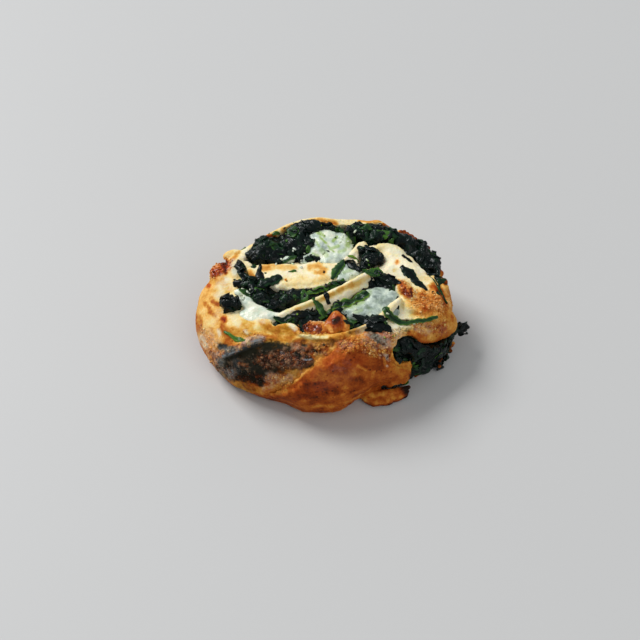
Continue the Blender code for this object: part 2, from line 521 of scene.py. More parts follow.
class Clay:
    """A block of distances on an even grid, which shapes are added to and carved from."""

    def __init__(self, low: Sequence[float], high: Sequence[float], step: float) -> None:
        """Start with an empty block.

        Args:
            low: The block's lowest corner in plan millimetres.
            high: Its highest corner.
            step: The grid's step, which is about the size of the mesh's faces.
        """
        self.low, self.step = np.array(low, float), step
        self.counts = np.ceil((np.array(high) - self.low) / step).astype(int) + 1
        lines = [self.low[k] + step * np.arange(self.counts[k]) for k in range(3)]
        self.x = lines[0].astype(np.float32)[:, None, None]
        self.y = lines[1].astype(np.float32)[None, :, None]
        self.z = lines[2].astype(np.float32)[None, None, :]
        self.places = (self.x, self.y, self.z)
        self.level = np.full(self.counts, FAR, np.float32)

    def window(self, shape: Shape, margin: float) -> Window:
        """The part of the block that a shape can change.

        Args:
            shape: The shape.
            margin: How far beyond its box it reaches.

        Returns:
            A slice of each axis.
        """
        low, high = shape.box()
        first = np.clip(np.floor((low - margin - self.low) / self.step), 0, self.counts).astype(int)
        last = np.clip(np.ceil((high + margin - self.low) / self.step) + 1, 0, self.counts).astype(int)
        return tuple(slice(a, b) for a, b in zip(first, last))

    def measure(self, shape: Shape, where: Window) -> Array:
        """A shape's distance in a window of the block."""
        return shape.distance((self.x[where[0]], self.y[:, where[1]], self.z[:, :, where[2]]))

    def add(self, shape: Shape, blend: float = 0.8) -> "Clay":
        """Join a shape on, with a fillet of about blend.

        Args:
            shape: The shape.
            blend: The fillet's size.

        Returns:
            The clay itself.
        """
        where = self.window(shape, blend + 1)
        self.level[where] = soft_min(self.level[where], self.measure(shape, where), blend)
        return self

    def carve(self, shape: Shape, blend: float = 0.8) -> "Clay":
        """Take a shape out, with edges rounded by about blend.

        Args:
            shape: The shape.
            blend: How far edges are rounded.

        Returns:
            The clay itself.
        """
        where = self.window(shape, blend + 1)
        self.level[where] = soft_max(self.level[where], -self.measure(shape, where), blend)
        return self

    def warp(self, amount: float, length: float, seed: int) -> "Clay":
        """Make the surface uneven, with swells of about one length."""
        self.level = self.level + (amount * Ripple(seed, length)(self.places)).astype(np.float32)
        return self

    def even_out(self) -> "Clay":
        """Turn the block's values into true distances near the surface.

        Returns:
            The clay itself.
        """
        slopes = np.gradient(self.level, self.step)
        steep = np.sqrt(slopes[0] ** 2 + slopes[1] ** 2 + slopes[2] ** 2)
        self.level = np.clip(self.level / np.maximum(steep, 0.3), -FAR, FAR).astype(np.float32)
        return self

    def cut_below(self, height: float) -> "Clay":
        """Cut off what is lower than a height."""
        self.level = np.maximum(self.level, height - self.z).astype(np.float32)
        return self

    def mesh(self, name: str) -> Piece:
        """Make a mesh of the surface between inside and outside.

        Args:
            name: The mesh's name.

        Returns:
            The new object, linked to the scene.
        """
        grid = openvdb.FloatGrid(FAR)
        grid.copyFromArray(np.clip(self.level, -FAR, FAR))
        points, quads = grid.convertToQuads(isovalue=0.0)
        points, quads = np.asarray(points, float) * self.step + self.low, np.asarray(quads, np.int32)
        corners = points[quads]
        volume = np.einsum("ij,ij->i", corners[:, 0], np.cross(corners[:, 1], corners[:, 2])).sum()
        return make_mesh(name, points, quads if volume > 0 else quads[:, ::-1])


def make_mesh(name: str, points: Array, faces: Array) -> Piece:
    """A smooth-shaded object from plan points and faces of one kind.

    Args:
        name: The object's name.
        points: Points in plan millimetres.
        faces: One row of point numbers for each face.

    Returns:
        The new object, linked to the scene.
    """
    mesh = bpy.data.meshes.new(name)
    sides = faces.shape[1]
    mesh.vertices.add(len(points))
    mesh.vertices.foreach_set("co", to_metres(points).astype(np.float32).ravel())
    mesh.loops.add(faces.size)
    mesh.loops.foreach_set("vertex_index", faces.astype(np.int32).ravel())
    mesh.polygons.add(len(faces))
    mesh.polygons.foreach_set("loop_start", np.arange(0, faces.size, sides, dtype=np.int32))
    mesh.update(calc_edges=True)
    mesh.validate()
    mesh.shade_smooth()
    obj = bpy.data.objects.new(name, mesh)
    bpy.context.scene.collection.objects.link(obj)
    return obj


def read_rows(items: bpy.types.bpy_prop_collection, name: str, width: int) -> Array:
    """Read one property of many things.

    Args:
        items: The things, such as a mesh's points.
        name: The property.
        width: How many numbers it has.

    Returns:
        One row for each thing.
    """
    flat = np.empty(len(items) * width, np.float32)
    items.foreach_get(name, flat)
    return flat.reshape(-1, width).astype(float)


def plan_points(obj: Piece) -> Array:
    """An object's points in plan millimetres."""
    return read_rows(obj.data.vertices, "co", 3) / MM + MIDDLE


def point_normals(obj: Piece) -> Array:
    """The normal at each of an object's points."""
    return read_rows(obj.data.vertex_normals, "vector", 3)


def point_values(obj: Piece, name: str) -> Array:
    """One of the numbers stored on each of an object's points."""
    return read_rows(obj.data.attributes[name].data, "value", 1)[:, 0]


def put_points(obj: Piece, points: Array) -> None:
    """Move an object's points to new plan places."""
    obj.data.vertices.foreach_set("co", to_metres(points).astype(np.float32).ravel())
    obj.data.update()


def put_values(obj: Piece, name: str, values: Array) -> None:
    """Store one number for each of an object's points, for its finish to read."""
    layer = obj.data.attributes.new(name, "FLOAT", "POINT")
    layer.data.foreach_set("value", np.clip(values, 0, 1).astype(np.float32))


def slim(obj: Piece, most: int = 190000) -> None:
    """Thin out an object's flatter faces where it has too many triangles.

    Args:
        obj: The piece.
        most: How many triangles it may keep.
    """
    triangles = sum(face.loop_total - 2 for face in obj.data.polygons)
    if triangles <= most:
        return
    modifier = obj.modifiers.new("slim", "DECIMATE")
    modifier.ratio = most / triangles
    bpy.context.view_layer.update()
    graph = bpy.context.evaluated_depsgraph_get()
    thinner = bpy.data.meshes.new_from_object(obj.evaluated_get(graph))
    obj.modifiers.clear()
    old, obj.data = obj.data, thinner
    bpy.data.meshes.remove(old)


def fractal(points: Array, length: float, octaves: int = 4, shift: float = 0) -> Array:
    """Soft fractal noise at some points, about -1 to 1, with features of one length."""
    scaled = points / length + shift
    return np.array([noise.fractal(p, 0.9, 2, octaves) for p in scaled])


def ridges(points: Array, length: float, octaves: int = 4, shift: float = 0) -> Array:
    """Creased noise at some points, about 0 to 1, with features of one length."""
    scaled = points / length + shift
    return np.array([noise.ridged_multi_fractal(p, 0.9, 2.1, octaves, 1, 2) for p in scaled]) * 0.55


def cells(points: Array, length: float, shift: float = 0) -> Array:
    """How near each point is to the middle of a round cell, 1 there and 0 between cells."""
    scaled = points / length + shift
    return np.clip(1 - np.array([noise.voronoi(p)[0][0] for p in scaled]) * 1.35, 0, 1)


@dataclass(frozen=True)
class View:
    """Where the photograph was taken from: a place in plan millimetres, a pitch, and sizes in pixels."""

    place: Triple = (-1.3, -323.5, 409.7)
    pitch: float = 50.9
    focal: float = 1110
    frame: float = 640

    def picture_places(self, points: Array) -> Array:
        """Where plan points show in the frame, in pixels to the right and down.

        Args:
            points: The points.

        Returns:
            One row of two pixel coordinates for each.
        """
        pitch = math.radians(self.pitch)
        ahead = np.array((0, math.cos(pitch), -math.sin(pitch)))
        up = np.array((0, math.sin(pitch), math.cos(pitch)))
        away = points - np.array(self.place)
        across = np.stack([away[:, 0], -(away @ up)], axis=1)
        return 0.5 * self.frame + self.focal * across / (away @ ahead)[:, None]


class Canvas:
    """A surface as the painter sees it: each point's place in the frame, and how much it faces the view."""

    def __init__(self, points: Array, normals: Array, view: View = View()) -> None:
        """Look at some plan points with their normals.

        Args:
            points: The points.
            normals: Their normals.
            view: The view.
        """
        self.places = view.picture_places(points)
        toward = np.array(view.place) - points
        toward /= np.linalg.norm(toward, axis=1, keepdims=True)
        self.facing = smooth_step(-0.15, 0.2, (normals * toward).sum(1))
        self.uneven = 0.7 * fractal(points, 4, 3, 21) + 0.4 * fractal(points, 1.3, 2, 5)

    def lay(self, rows: Strokes, values: Array) -> Array:
        """Lay soft brush strokes over some values, one after the other.

        Args:
            rows: Each stroke's value, its radius and its path, as x, y, x, y, in the frame's pixels.
            values: The values before.

        Returns:
            The values after.
        """
        values = values.copy()
        for value, radius, *path in rows:
            path = np.array(path, float).reshape(-1, 2)
            margin = 2.2 * radius + 2
            near = np.all((self.places > path.min(0) - margin) & (self.places < path.max(0) + margin), axis=1)
            some = self.places[near]
            away = np.full(len(some), FAR * radius)
            for start, end in zip(path, path[1:] if len(path) > 1 else path):
                run = end - start
                t = np.clip((some - start) @ run / max(run @ run, 1e-6), 0, 1)
                away = np.minimum(away, np.linalg.norm(some - start - t[:, None] * run, axis=1))
            cover = smooth_step(1.4, 0.4, away / radius + 0.5 * self.uneven[near]) * self.facing[near]
            values[near] += (value - values[near]) * cover
        return values


# Shader building


class Tree:
    """A short way to place and join shader nodes."""

    def __init__(self, tree: NodeTree) -> None:
        """Work on one node tree."""
        self.tree = tree

    def feed(self, node: Node, inputs: Inputs) -> None:
        """Join outputs to some of a node's inputs, and set the others to plain values.

        Args:
            node: The node.
            inputs: An output or a plain value for each input's name or number.
        """
        for name, value in inputs.items():
            if isinstance(value, Socket):
                self.tree.links.new(value, node.inputs[name])
            else:
                node.inputs[name].default_value = value

    def node(self, kind: str, inputs: Inputs, **settings: object) -> Node:
        """Place a node.

        Args:
            kind: Its kind, without ShaderNode in front.
            inputs: What its inputs get.
            **settings: Its properties.

        Returns:
            The node.
        """
        made = self.tree.nodes.new(kind if kind.startswith("NodeGroup") else "ShaderNode" + kind)
        for name, value in settings.items():
            setattr(made, name, value)
        self.feed(made, inputs)
        return made

    def math(self, operation: str, a: Feed, b: Feed, clamp: bool = False) -> Socket:
        """The result of a Math node, held within 0 and 1 where it is clamped."""
        return self.node("Math", {0: a, 1: b}, operation=operation, use_clamp=clamp).outputs[0]

    def times(self, a: Feed, b: Feed) -> Socket:
        """The product of two values."""
        return self.math("MULTIPLY", a, b)

    def plus(self, a: Feed, b: Feed, clamp: bool = False) -> Socket:
        """The sum of two values, held within 0 and 1 where it is clamped."""
        return self.math("ADD", a, b, clamp)

    def minus(self, a: Feed, b: Feed) -> Socket:
        """The first value less the second."""
        return self.math("SUBTRACT", a, b)

    def between(self, value: Feed, low: float, high: float) -> Socket:
        """A value stretched so that low becomes 0 and high becomes 1, held within them."""
        inputs = {"Value": value, "From Min": low, "From Max": high}
        return self.node("MapRange", inputs, clamp=True).outputs["Result"]

    def mix(self, share: Feed, below: Socket, colour: Colour, blend: str = "MIX") -> Socket:
        """A colour with another one laid over it, or blended with it in some other way."""
        inputs = {"Factor": share, 6: below, 7: (*colour, 1)}
        return self.node("Mix", inputs, data_type="RGBA", blend_type=blend).outputs[2]

    def ramp(self, value: Feed, stops: Stops) -> Socket:
        """A colour read from stops along a value.

        Args:
            value: The value.
            stops: Each stop's place and colour.

        Returns:
            The colour.
        """
        made = self.node("ValToRGB", {"Fac": value})
        elements = made.color_ramp.elements
        while len(elements) < len(stops):
            elements.new(0.5)
        for element, (place, colour) in zip(elements, stops):
            element.position = place
            element.color = (*colour, 1)
        return made.outputs["Color"]

    def noise(self, where: Socket, scale: Feed, detail: float = 3, rough: float = 0.55) -> Socket:
        """Noise with features of 1 / scale metres."""
        inputs = {"Vector": where, "Scale": scale, "Detail": detail, "Roughness": rough}
        return self.node("TexNoise", inputs).outputs["Fac"]

    def value(self, name: str) -> Socket:
        """A number stored on the mesh."""
        return self.node("Attribute", {}, attribute_type="GEOMETRY", attribute_name=name).outputs["Fac"]

    def place(self) -> Socket:
        """The place on the object."""
        return self.node("TexCoord", {}).outputs["Object"]


def new_group(name: str, takes: dict[str, float],
              gives: Sequence[str]) -> tuple[NodeTree, Tree, Outputs, Node]:
    """A shader node group with a Vector input, number inputs and number outputs.

    Args:
        name: The group's name.
        takes: Its number inputs and their usual values.
        gives: Its outputs.

    Returns:
        The group, a Tree that works on it, what it is given, and the node for what it puts out.
    """
    group = bpy.data.node_groups.new(name, "ShaderNodeTree")
    group.interface.new_socket("Vector", in_out="INPUT", socket_type="NodeSocketVector")
    for label, usual in takes.items():
        socket = group.interface.new_socket(label, in_out="INPUT", socket_type="NodeSocketFloat")
        socket.default_value = usual
    for label in gives:
        group.interface.new_socket(label, in_out="OUTPUT", socket_type="NodeSocketFloat")
    tree = Tree(group)
    return group, tree, tree.node("NodeGroupInput", {}).outputs, tree.node("NodeGroupOutput", {})


class Groups:
    """The node groups that several finishes share."""

    def __init__(self) -> None:
        """Build each group once."""
        self.mottle = self.build_mottle()
        self.blister = self.build_blister()
        self.specks = self.build_specks()

    @staticmethod
    def build_mottle() -> NodeTree:
        """Blotches of three sizes, as a value about 0.5 that is stretched by Contrast.

        Returns:
            The group.
        """
        takes = {"Coarse": 260, "Fine": 1100, "Contrast": 1}
        group, tree, given, sink = new_group("Mottle", takes, ("Value",))
        broad, coarse, fine = tree.times(given["Coarse"], 0.36), given["Coarse"], given["Fine"]
        total = None
        for scale, detail, share in ((broad, 2, 0.35), (coarse, 4, 0.4), (fine, 2, 0.25)):
            part = tree.times(tree.noise(given["Vector"], scale, detail, 0.6), share)
            total = part if total is None else tree.plus(total, part)
        away = tree.times(tree.minus(total, 0.5), given["Contrast"])
        tree.feed(sink, {"Value": tree.plus(away, 0.5)})
        return group

    @staticmethod
    def build_blister() -> NodeTree:
        """Tiny raised bubbles, with a mask of their tops for the crust's painted highlight.

        Returns:
            The group.
        """
        group, tree, given, sink = new_group("Blister", {"Scale": 900, "Amount": 1}, ("Height", "Tops"))
        inputs = {"Vector": given["Vector"], "Scale": given["Scale"], "Smoothness": 0.3}
        bubbles = tree.node("TexVoronoi", inputs, feature="SMOOTH_F1").outputs["Distance"]
        grit_and_glint = tree.noise(given["Vector"], tree.times(given["Scale"], 2.2), 3, 0.5)
        dome = tree.minus(1, tree.between(bubbles, 0.05, 0.75))
        height = tree.plus(tree.times(dome, 0.6), tree.times(grit_and_glint, 0.5))
        tops = tree.between(height, 0.45, 0.8)
        tree.feed(sink, {"Height": tree.times(height, given["Amount"]), "Tops": tops})
        return group

    @staticmethod
    def build_specks() -> NodeTree:
        """Scattered round spots, as a mask: Size is their radius in cells and Share how many show.

        Returns:
            The group.
        """
        takes = {"Scale": 500, "Size": 0.2, "Share": 0.3}
        group, tree, given, sink = new_group("Specks", takes, ("Mask",))
        inputs = {"Vector": given["Vector"], "Scale": given["Scale"]}
        spots = tree.node("TexVoronoi", inputs, feature="F1").outputs
        red = tree.node("SeparateColor", {"Color": spots["Color"]}).outputs["Red"]
        chosen = tree.math("LESS_THAN", red, given["Share"])
        near = tree.math("DIVIDE", spots["Distance"], given["Size"])
        tree.feed(sink, {"Mask": tree.times(chosen, tree.between(near, 1.3, 0.6))})
        return group


def use_group(tree: Tree, group: NodeTree, where: Socket, **values: float) -> Outputs:
    """Place a shared group with its own values, and give its outputs."""
    return tree.node("Group", {"Vector": where, **values}, node_tree=group).outputs


def new_finish(name: str, roughness: float) -> tuple[Material, Tree, Node]:
    """A material with one Principled shader.

    Args:
        name: The material's name.
        roughness: Its even roughness, where nothing else sets it.

    Returns:
        The material, a Tree that works on it, and its shader.
    """
    material = bpy.data.materials.new(name)
    material.use_nodes = True
    shader = material.node_tree.nodes["Principled BSDF"]
    shader.inputs["Roughness"].default_value = roughness
    return material, Tree(material.node_tree), shader


def add_bump(tree: Tree, shader: Node, height: Socket, distance: float, strength: float) -> None:
    """Give a shader relief from a height, which reaches some metres."""
    bump = tree.node("Bump", {"Strength": strength, "Distance": distance, "Height": height})
    tree.feed(shader, {"Normal": bump.outputs["Normal"]})


@dataclass(frozen=True)
class CrustFinish:
    """Baked dough, from moist cream through gold and brown to burnt, with what shows through it."""

    toast_stops: Stops = (
        (0, (0.95, 0.85, 0.6)), (0.12, (0.92, 0.76, 0.41)), (0.24, (0.87, 0.62, 0.24)),
        (0.36, (0.8, 0.43, 0.105)), (0.48, (0.6, 0.25, 0.036)), (0.6, (0.44, 0.11, 0.014)),
        (0.72, (0.29, 0.052, 0.006)), (0.86, (0.09, 0.018, 0.005)), (1, (0.016, 0.008, 0.005)),
    )
    oil_tint: Colour = (0.8, 0.76, 0.3)
    milk_colour: Colour = (0.82, 0.79, 0.6)
    # soot is dark stain and char, and also painted shade under the front lip and below the long leaf on the
    # right
    soot_and_shade_tint: Colour = (0.24, 0.2, 0.12)
    soot_and_shade_colour: Colour = (0.012, 0.011, 0.005)
    # grit is paler granules, partly a painted highlight on their crowns
    grit_and_glint_colour: Colour = (0.5, 0.3, 0.17)
    # frost is flour dust, and also painted glints on the ridge and at the right of the loose end
    frost_and_glint_colour: Colour = (0.76, 0.68, 0.52)
    blush_tint: Colour = (1, 0.5, 0.42)
    # film is a painted bluish reflection and painted glints along the wet ridge
    film_sheen_colour: Colour = (0.4, 0.46, 0.5)
    roughness: float = 0.62
    wet_shine: float = 0.3
    glaze: float = 0.7
    relief: float = 0.0009
    surface: ClassVar[Inputs] = {
        "Coat Roughness": 0.14, "Specular IOR Level": 0.06, "Subsurface Weight": 0.1,
        "Subsurface Radius": (1, 0.5, 0.2), "Subsurface Scale": 0.0016,
    }

    def build(self, name: str, groups: Groups) -> Material:
        """Make the material, which reads every layer of the paint from the mesh.

        Args:
            name: The material's name.
            groups: The shared node groups.

        Returns:
            The material.
        """
        material, tree, shader = new_finish(name, self.roughness)
        where = tree.place()
        mottle = use_group(tree, groups.mottle, where, Coarse=260, Fine=1100, Contrast=0.95)["Value"]
        blister = use_group(tree, groups.blister, where, Scale=720, Amount=1)
        specks = use_group(tree, groups.specks, where, Scale=430, Size=0.16, Share=0.35)["Mask"]
        brown, grain, wet, soot_and_shade = (tree.value(layer) for layer in ("toast", "grain", "wet", "soot_and_shade"))
        patchy = tree.noise(where, 420, 4, 0.7)
        # the tops of blisters are painted paler on grainy dough, as a painted highlight
        tops = tree.times(tree.minus(blister["Tops"], 0.45), tree.times(grain, -0.15))
        toast = tree.plus(brown, tree.minus(mottle, 0.5))
        toast = tree.plus(toast, tree.times(specks, tree.times(brown, 0.3)))
        baked = tree.ramp(tree.plus(toast, tops, clamp=True), self.toast_stops)
        baked = tree.mix(tree.value("blush"), baked, self.blush_tint, "MULTIPLY")
        oily = tree.times(tree.value("oil"), tree.between(patchy, 0.25, 0.6))
        baked = tree.mix(oily, baked, self.oil_tint, "MULTIPLY")
        curds = tree.between(tree.noise(where, 330, 4, 0.6), 0.34, 0.56)
        baked = tree.mix(tree.times(tree.value("milk"), curds), baked, self.milk_colour)
        # soot darkens the dough: dark stain and char, and painted shade under the lip and below the long leaf
        darker = tree.between(tree.plus(soot_and_shade, tree.times(patchy, 0.5)), 0.45, 0.95)
        black = tree.between(tree.plus(soot_and_shade, tree.times(patchy, 0.9)), 0.86, 1.2)
        baked = tree.mix(darker, baked, self.soot_and_shade_tint, "MULTIPLY")
        baked = tree.mix(black, baked, self.soot_and_shade_colour)
        # grit: paler granules, partly a painted highlight
        bright = tree.times(tree.value("grit_and_glint"), tree.between(tree.noise(where, 560, 4, 0.6), 0.42, 0.68))
        baked = tree.mix(tree.times(bright, 0.65), baked, self.grit_and_glint_colour)
        # frost: flour dust, and painted glints
        frost_glint = tree.times(tree.value("frost_and_glint"), tree.between(tree.noise(where, 620, 4, 0.7), 0.38, 0.64))
        baked = tree.mix(tree.times(frost_glint, 0.62), baked, self.frost_and_glint_colour)
        # film: painted bluish reflection and painted glints on the wet ridge
        film_sheen = tree.times(tree.value("film_sheen"), tree.between(patchy, 0.22, 0.62))
        shine = tree.plus(tree.times(wet, self.wet_shine), tree.times(mottle, 0.12))
        tree.feed(shader, {
            "Base Color": tree.mix(film_sheen, baked, self.film_sheen_colour),
            "Roughness": tree.minus(self.roughness, shine),
            "Coat Weight": tree.times(wet, self.glaze),
            **self.surface,
        })
        bubbles = tree.times(blister["Height"], tree.plus(grain, 0.1))
        height = tree.plus(tree.times(tree.noise(where, 480, 5, 0.62), 0.7), bubbles)
        add_bump(tree, shader, tree.plus(height, tree.times(bright, 0.5)), self.relief, 0.85)
        return material


@dataclass(frozen=True)
class LeafFinish:
    """Cooked spinach: nearly black green and moist, with some brighter leaf."""

    stops: Stops = (
        (0, (0.001, 0.0028, 0.0027)), (0.22, (0.0022, 0.0082, 0.0062)), (0.45, (0.01, 0.038, 0.013)),
        (0.7, (0.055, 0.145, 0.018)), (1, (0.26, 0.4, 0.04)),
    )
    roughness: float = 0.08
    relief: float = 0.0005
    surface: ClassVar[Inputs] = {"Specular IOR Level": 0.11, "Coat Weight": 0.11, "Coat Roughness": 0.08}

    def build(self, name: str, groups: Groups) -> Material:
        """Make the material, which reads green from the mesh.

        Args:
            name: The material's name.
            groups: The shared node groups.

        Returns:
            The material.
        """
        material, tree, shader = new_finish(name, self.roughness)
        where = tree.place()
        mottle = use_group(tree, groups.mottle, where, Coarse=420, Fine=1500, Contrast=1.3)["Value"]
        green = tree.plus(tree.value("green"), tree.times(tree.minus(mottle, 0.5), 0.7), clamp=True)
        creases = tree.noise(where, 850, 4, 0.65)
        rough = tree.plus(self.roughness, tree.times(creases, 0.36))
        tree.feed(shader, {"Base Color": tree.ramp(green, self.stops), "Roughness": rough, **self.surface})
        add_bump(tree, shader, creases, self.relief, 0.5)
        return material


@dataclass(frozen=True)
class CheeseFinish:
    """Soft white cheese, melted and moist, with a faint green and blue cast."""

    stops: Stops = (
        (0, (0.13, 0.17, 0.14)), (0.3, (0.28, 0.34, 0.3)), (0.55, (0.5, 0.58, 0.5)),
        (0.8, (0.7, 0.76, 0.62)), (1, (0.88, 0.86, 0.7)),
    )
    leafy: Colour = (0.32, 0.46, 0.1)
    roughness: float = 0.06
    relief: float = 0.0006
    surface: ClassVar[Inputs] = {
        "Specular IOR Level": 0.3, "Subsurface Weight": 0.25, "Subsurface Radius": (1, 1.1, 1),
        "Subsurface Scale": 0.0012,
    }

    def build(self, name: str, groups: Groups) -> Material:
        """Make the material, which reads pale and green from the mesh.

        Args:
            name: The material's name.
            groups: The shared node groups.

        Returns:
            The material.
        """
        material, tree, shader = new_finish(name, self.roughness)
        where = tree.place()
        mottle = use_group(tree, groups.mottle, where, Coarse=260, Fine=900, Contrast=1.5)["Value"]
        pale = tree.plus(tree.value("pale"), tree.minus(mottle, 0.5), clamp=True)
        white = tree.mix(tree.value("green"), tree.ramp(pale, self.stops), self.leafy)
        curds = tree.noise(where, 560, 4, 0.6)
        rough = tree.plus(self.roughness, tree.times(curds, 0.4))
        tree.feed(shader, {"Base Color": white, "Roughness": rough, **self.surface})
        add_bump(tree, shader, curds, self.relief, 0.55)
        return material


class Pantry:
    """Every finish, made once."""

    def __init__(self) -> None:
        """Build the shared groups and the finishes."""
        groups = Groups()
        self.crust = CrustFinish().build("baked_crust", groups)
        self.leaf = LeafFinish().build("cooked_leaf", groups)
        self.cheese = CheeseFinish().build("soft_cheese", groups)


def dress(obj: Piece, finish: Material, replaces: Sequence[str] = ()) -> None:
    """Give a piece its finish and its place in the frame.

    Args:
        obj: The piece.
        finish: Its material.
        replaces: The nodes that it stands for.
    """
    obj.data.materials.clear()
    obj.data.materials.append(finish)
    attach(obj, BODY)
    if replaces:
        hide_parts(*replaces)
    log.info("%s: %d faces", obj.name, len(obj.data.polygons))


# The plan that the dough and the filling share

SPIRAL_FILLING = (
    (11, 8.4, 1.2, 31.5), (3, 1.8, 1.6, 32), (-8.5, -2.6, 3.6, 32.5), (-18, -4.8, 5.6, 33), (-28, -3, 6, 33),
    (-34.6, 3, 4.4, 32.5), (-36.8, 10, 1.8, 22), (-35.6, 16.6, 1.6, 22), (-29.6, 22.6, 4.4, 34),
    (-23.5, 25.6, 8.4, 34.5), (-11, 28.6, 10.8, 35), (3.5, 30, 9.8, 33), (15, 33, 7.2, 34.5),
    (25.5, 34.5, 5.6, 35), (36, 31.5, 5.4, 34), (45.8, 24.8, 5, 31.5), (51.2, 15, 3.2, 27.6),
    (53.5, 3.5, 3, 16), (53.8, -6.4, 4.4, 12), (49.4, -13.8, 6, 15), (41, -19.6, 5.6, 22),
    (32.5, -23.5, 4.2, 25),
)
FRONT_FILLING = (
    (26, 3, 6, 31), (22.5, -5.5, 9.6, 31), (15.5, -12, 9.4, 31.5), (5.5, -15.4, 8.2, 31.5),
    (-6, -17, 6.8, 32), (-15.5, -16.8, 3.6, 32), (-20.5, -17.4, 1.8, 31.5),
)
SIDE_FROM = 18
UNDER_DEPTH = 2.2


@dataclass(frozen=True)
class RaggedEdge:
    """Small random lumps along a path, of some half sizes, which stray from it by about spread."""

    path: tuple[Triple, ...]
    count: int
    sizes: tuple[float, float]
    spread: float
    seed: int

    def lumps(self) -> tuple[Lump, ...]:
        """Draw the lumps.

        Returns:
            One after the other along the path.
        """
        draw = np.random.default_rng(self.seed)
        fine = smooth_path(self.path, 8)
        made = []
        for share in np.sort(draw.uniform(0, 1, self.count)):
            centre = fine[int(share * (len(fine) - 1))] + draw.normal(0, self.spread, 3) * (1, 1, 0.6)
            half = draw.uniform(*self.sizes)
            halves = (half * draw.uniform(0.8, 1.7), half, half * draw.uniform(0.6, 1.1))
            made.append(Lump(tuple(centre), halves, draw.uniform(0, 180), draw.uniform(-30, 30)))
        return tuple(made)


def lump_rows(*rows: tuple[float, ...]) -> tuple[Lump, ...]:
    """Lumps from rows of a centre, three half sizes and, where it is turned, a turn."""
    return tuple(Lump(row[:3], row[3:6], *row[6:]) for row in rows)
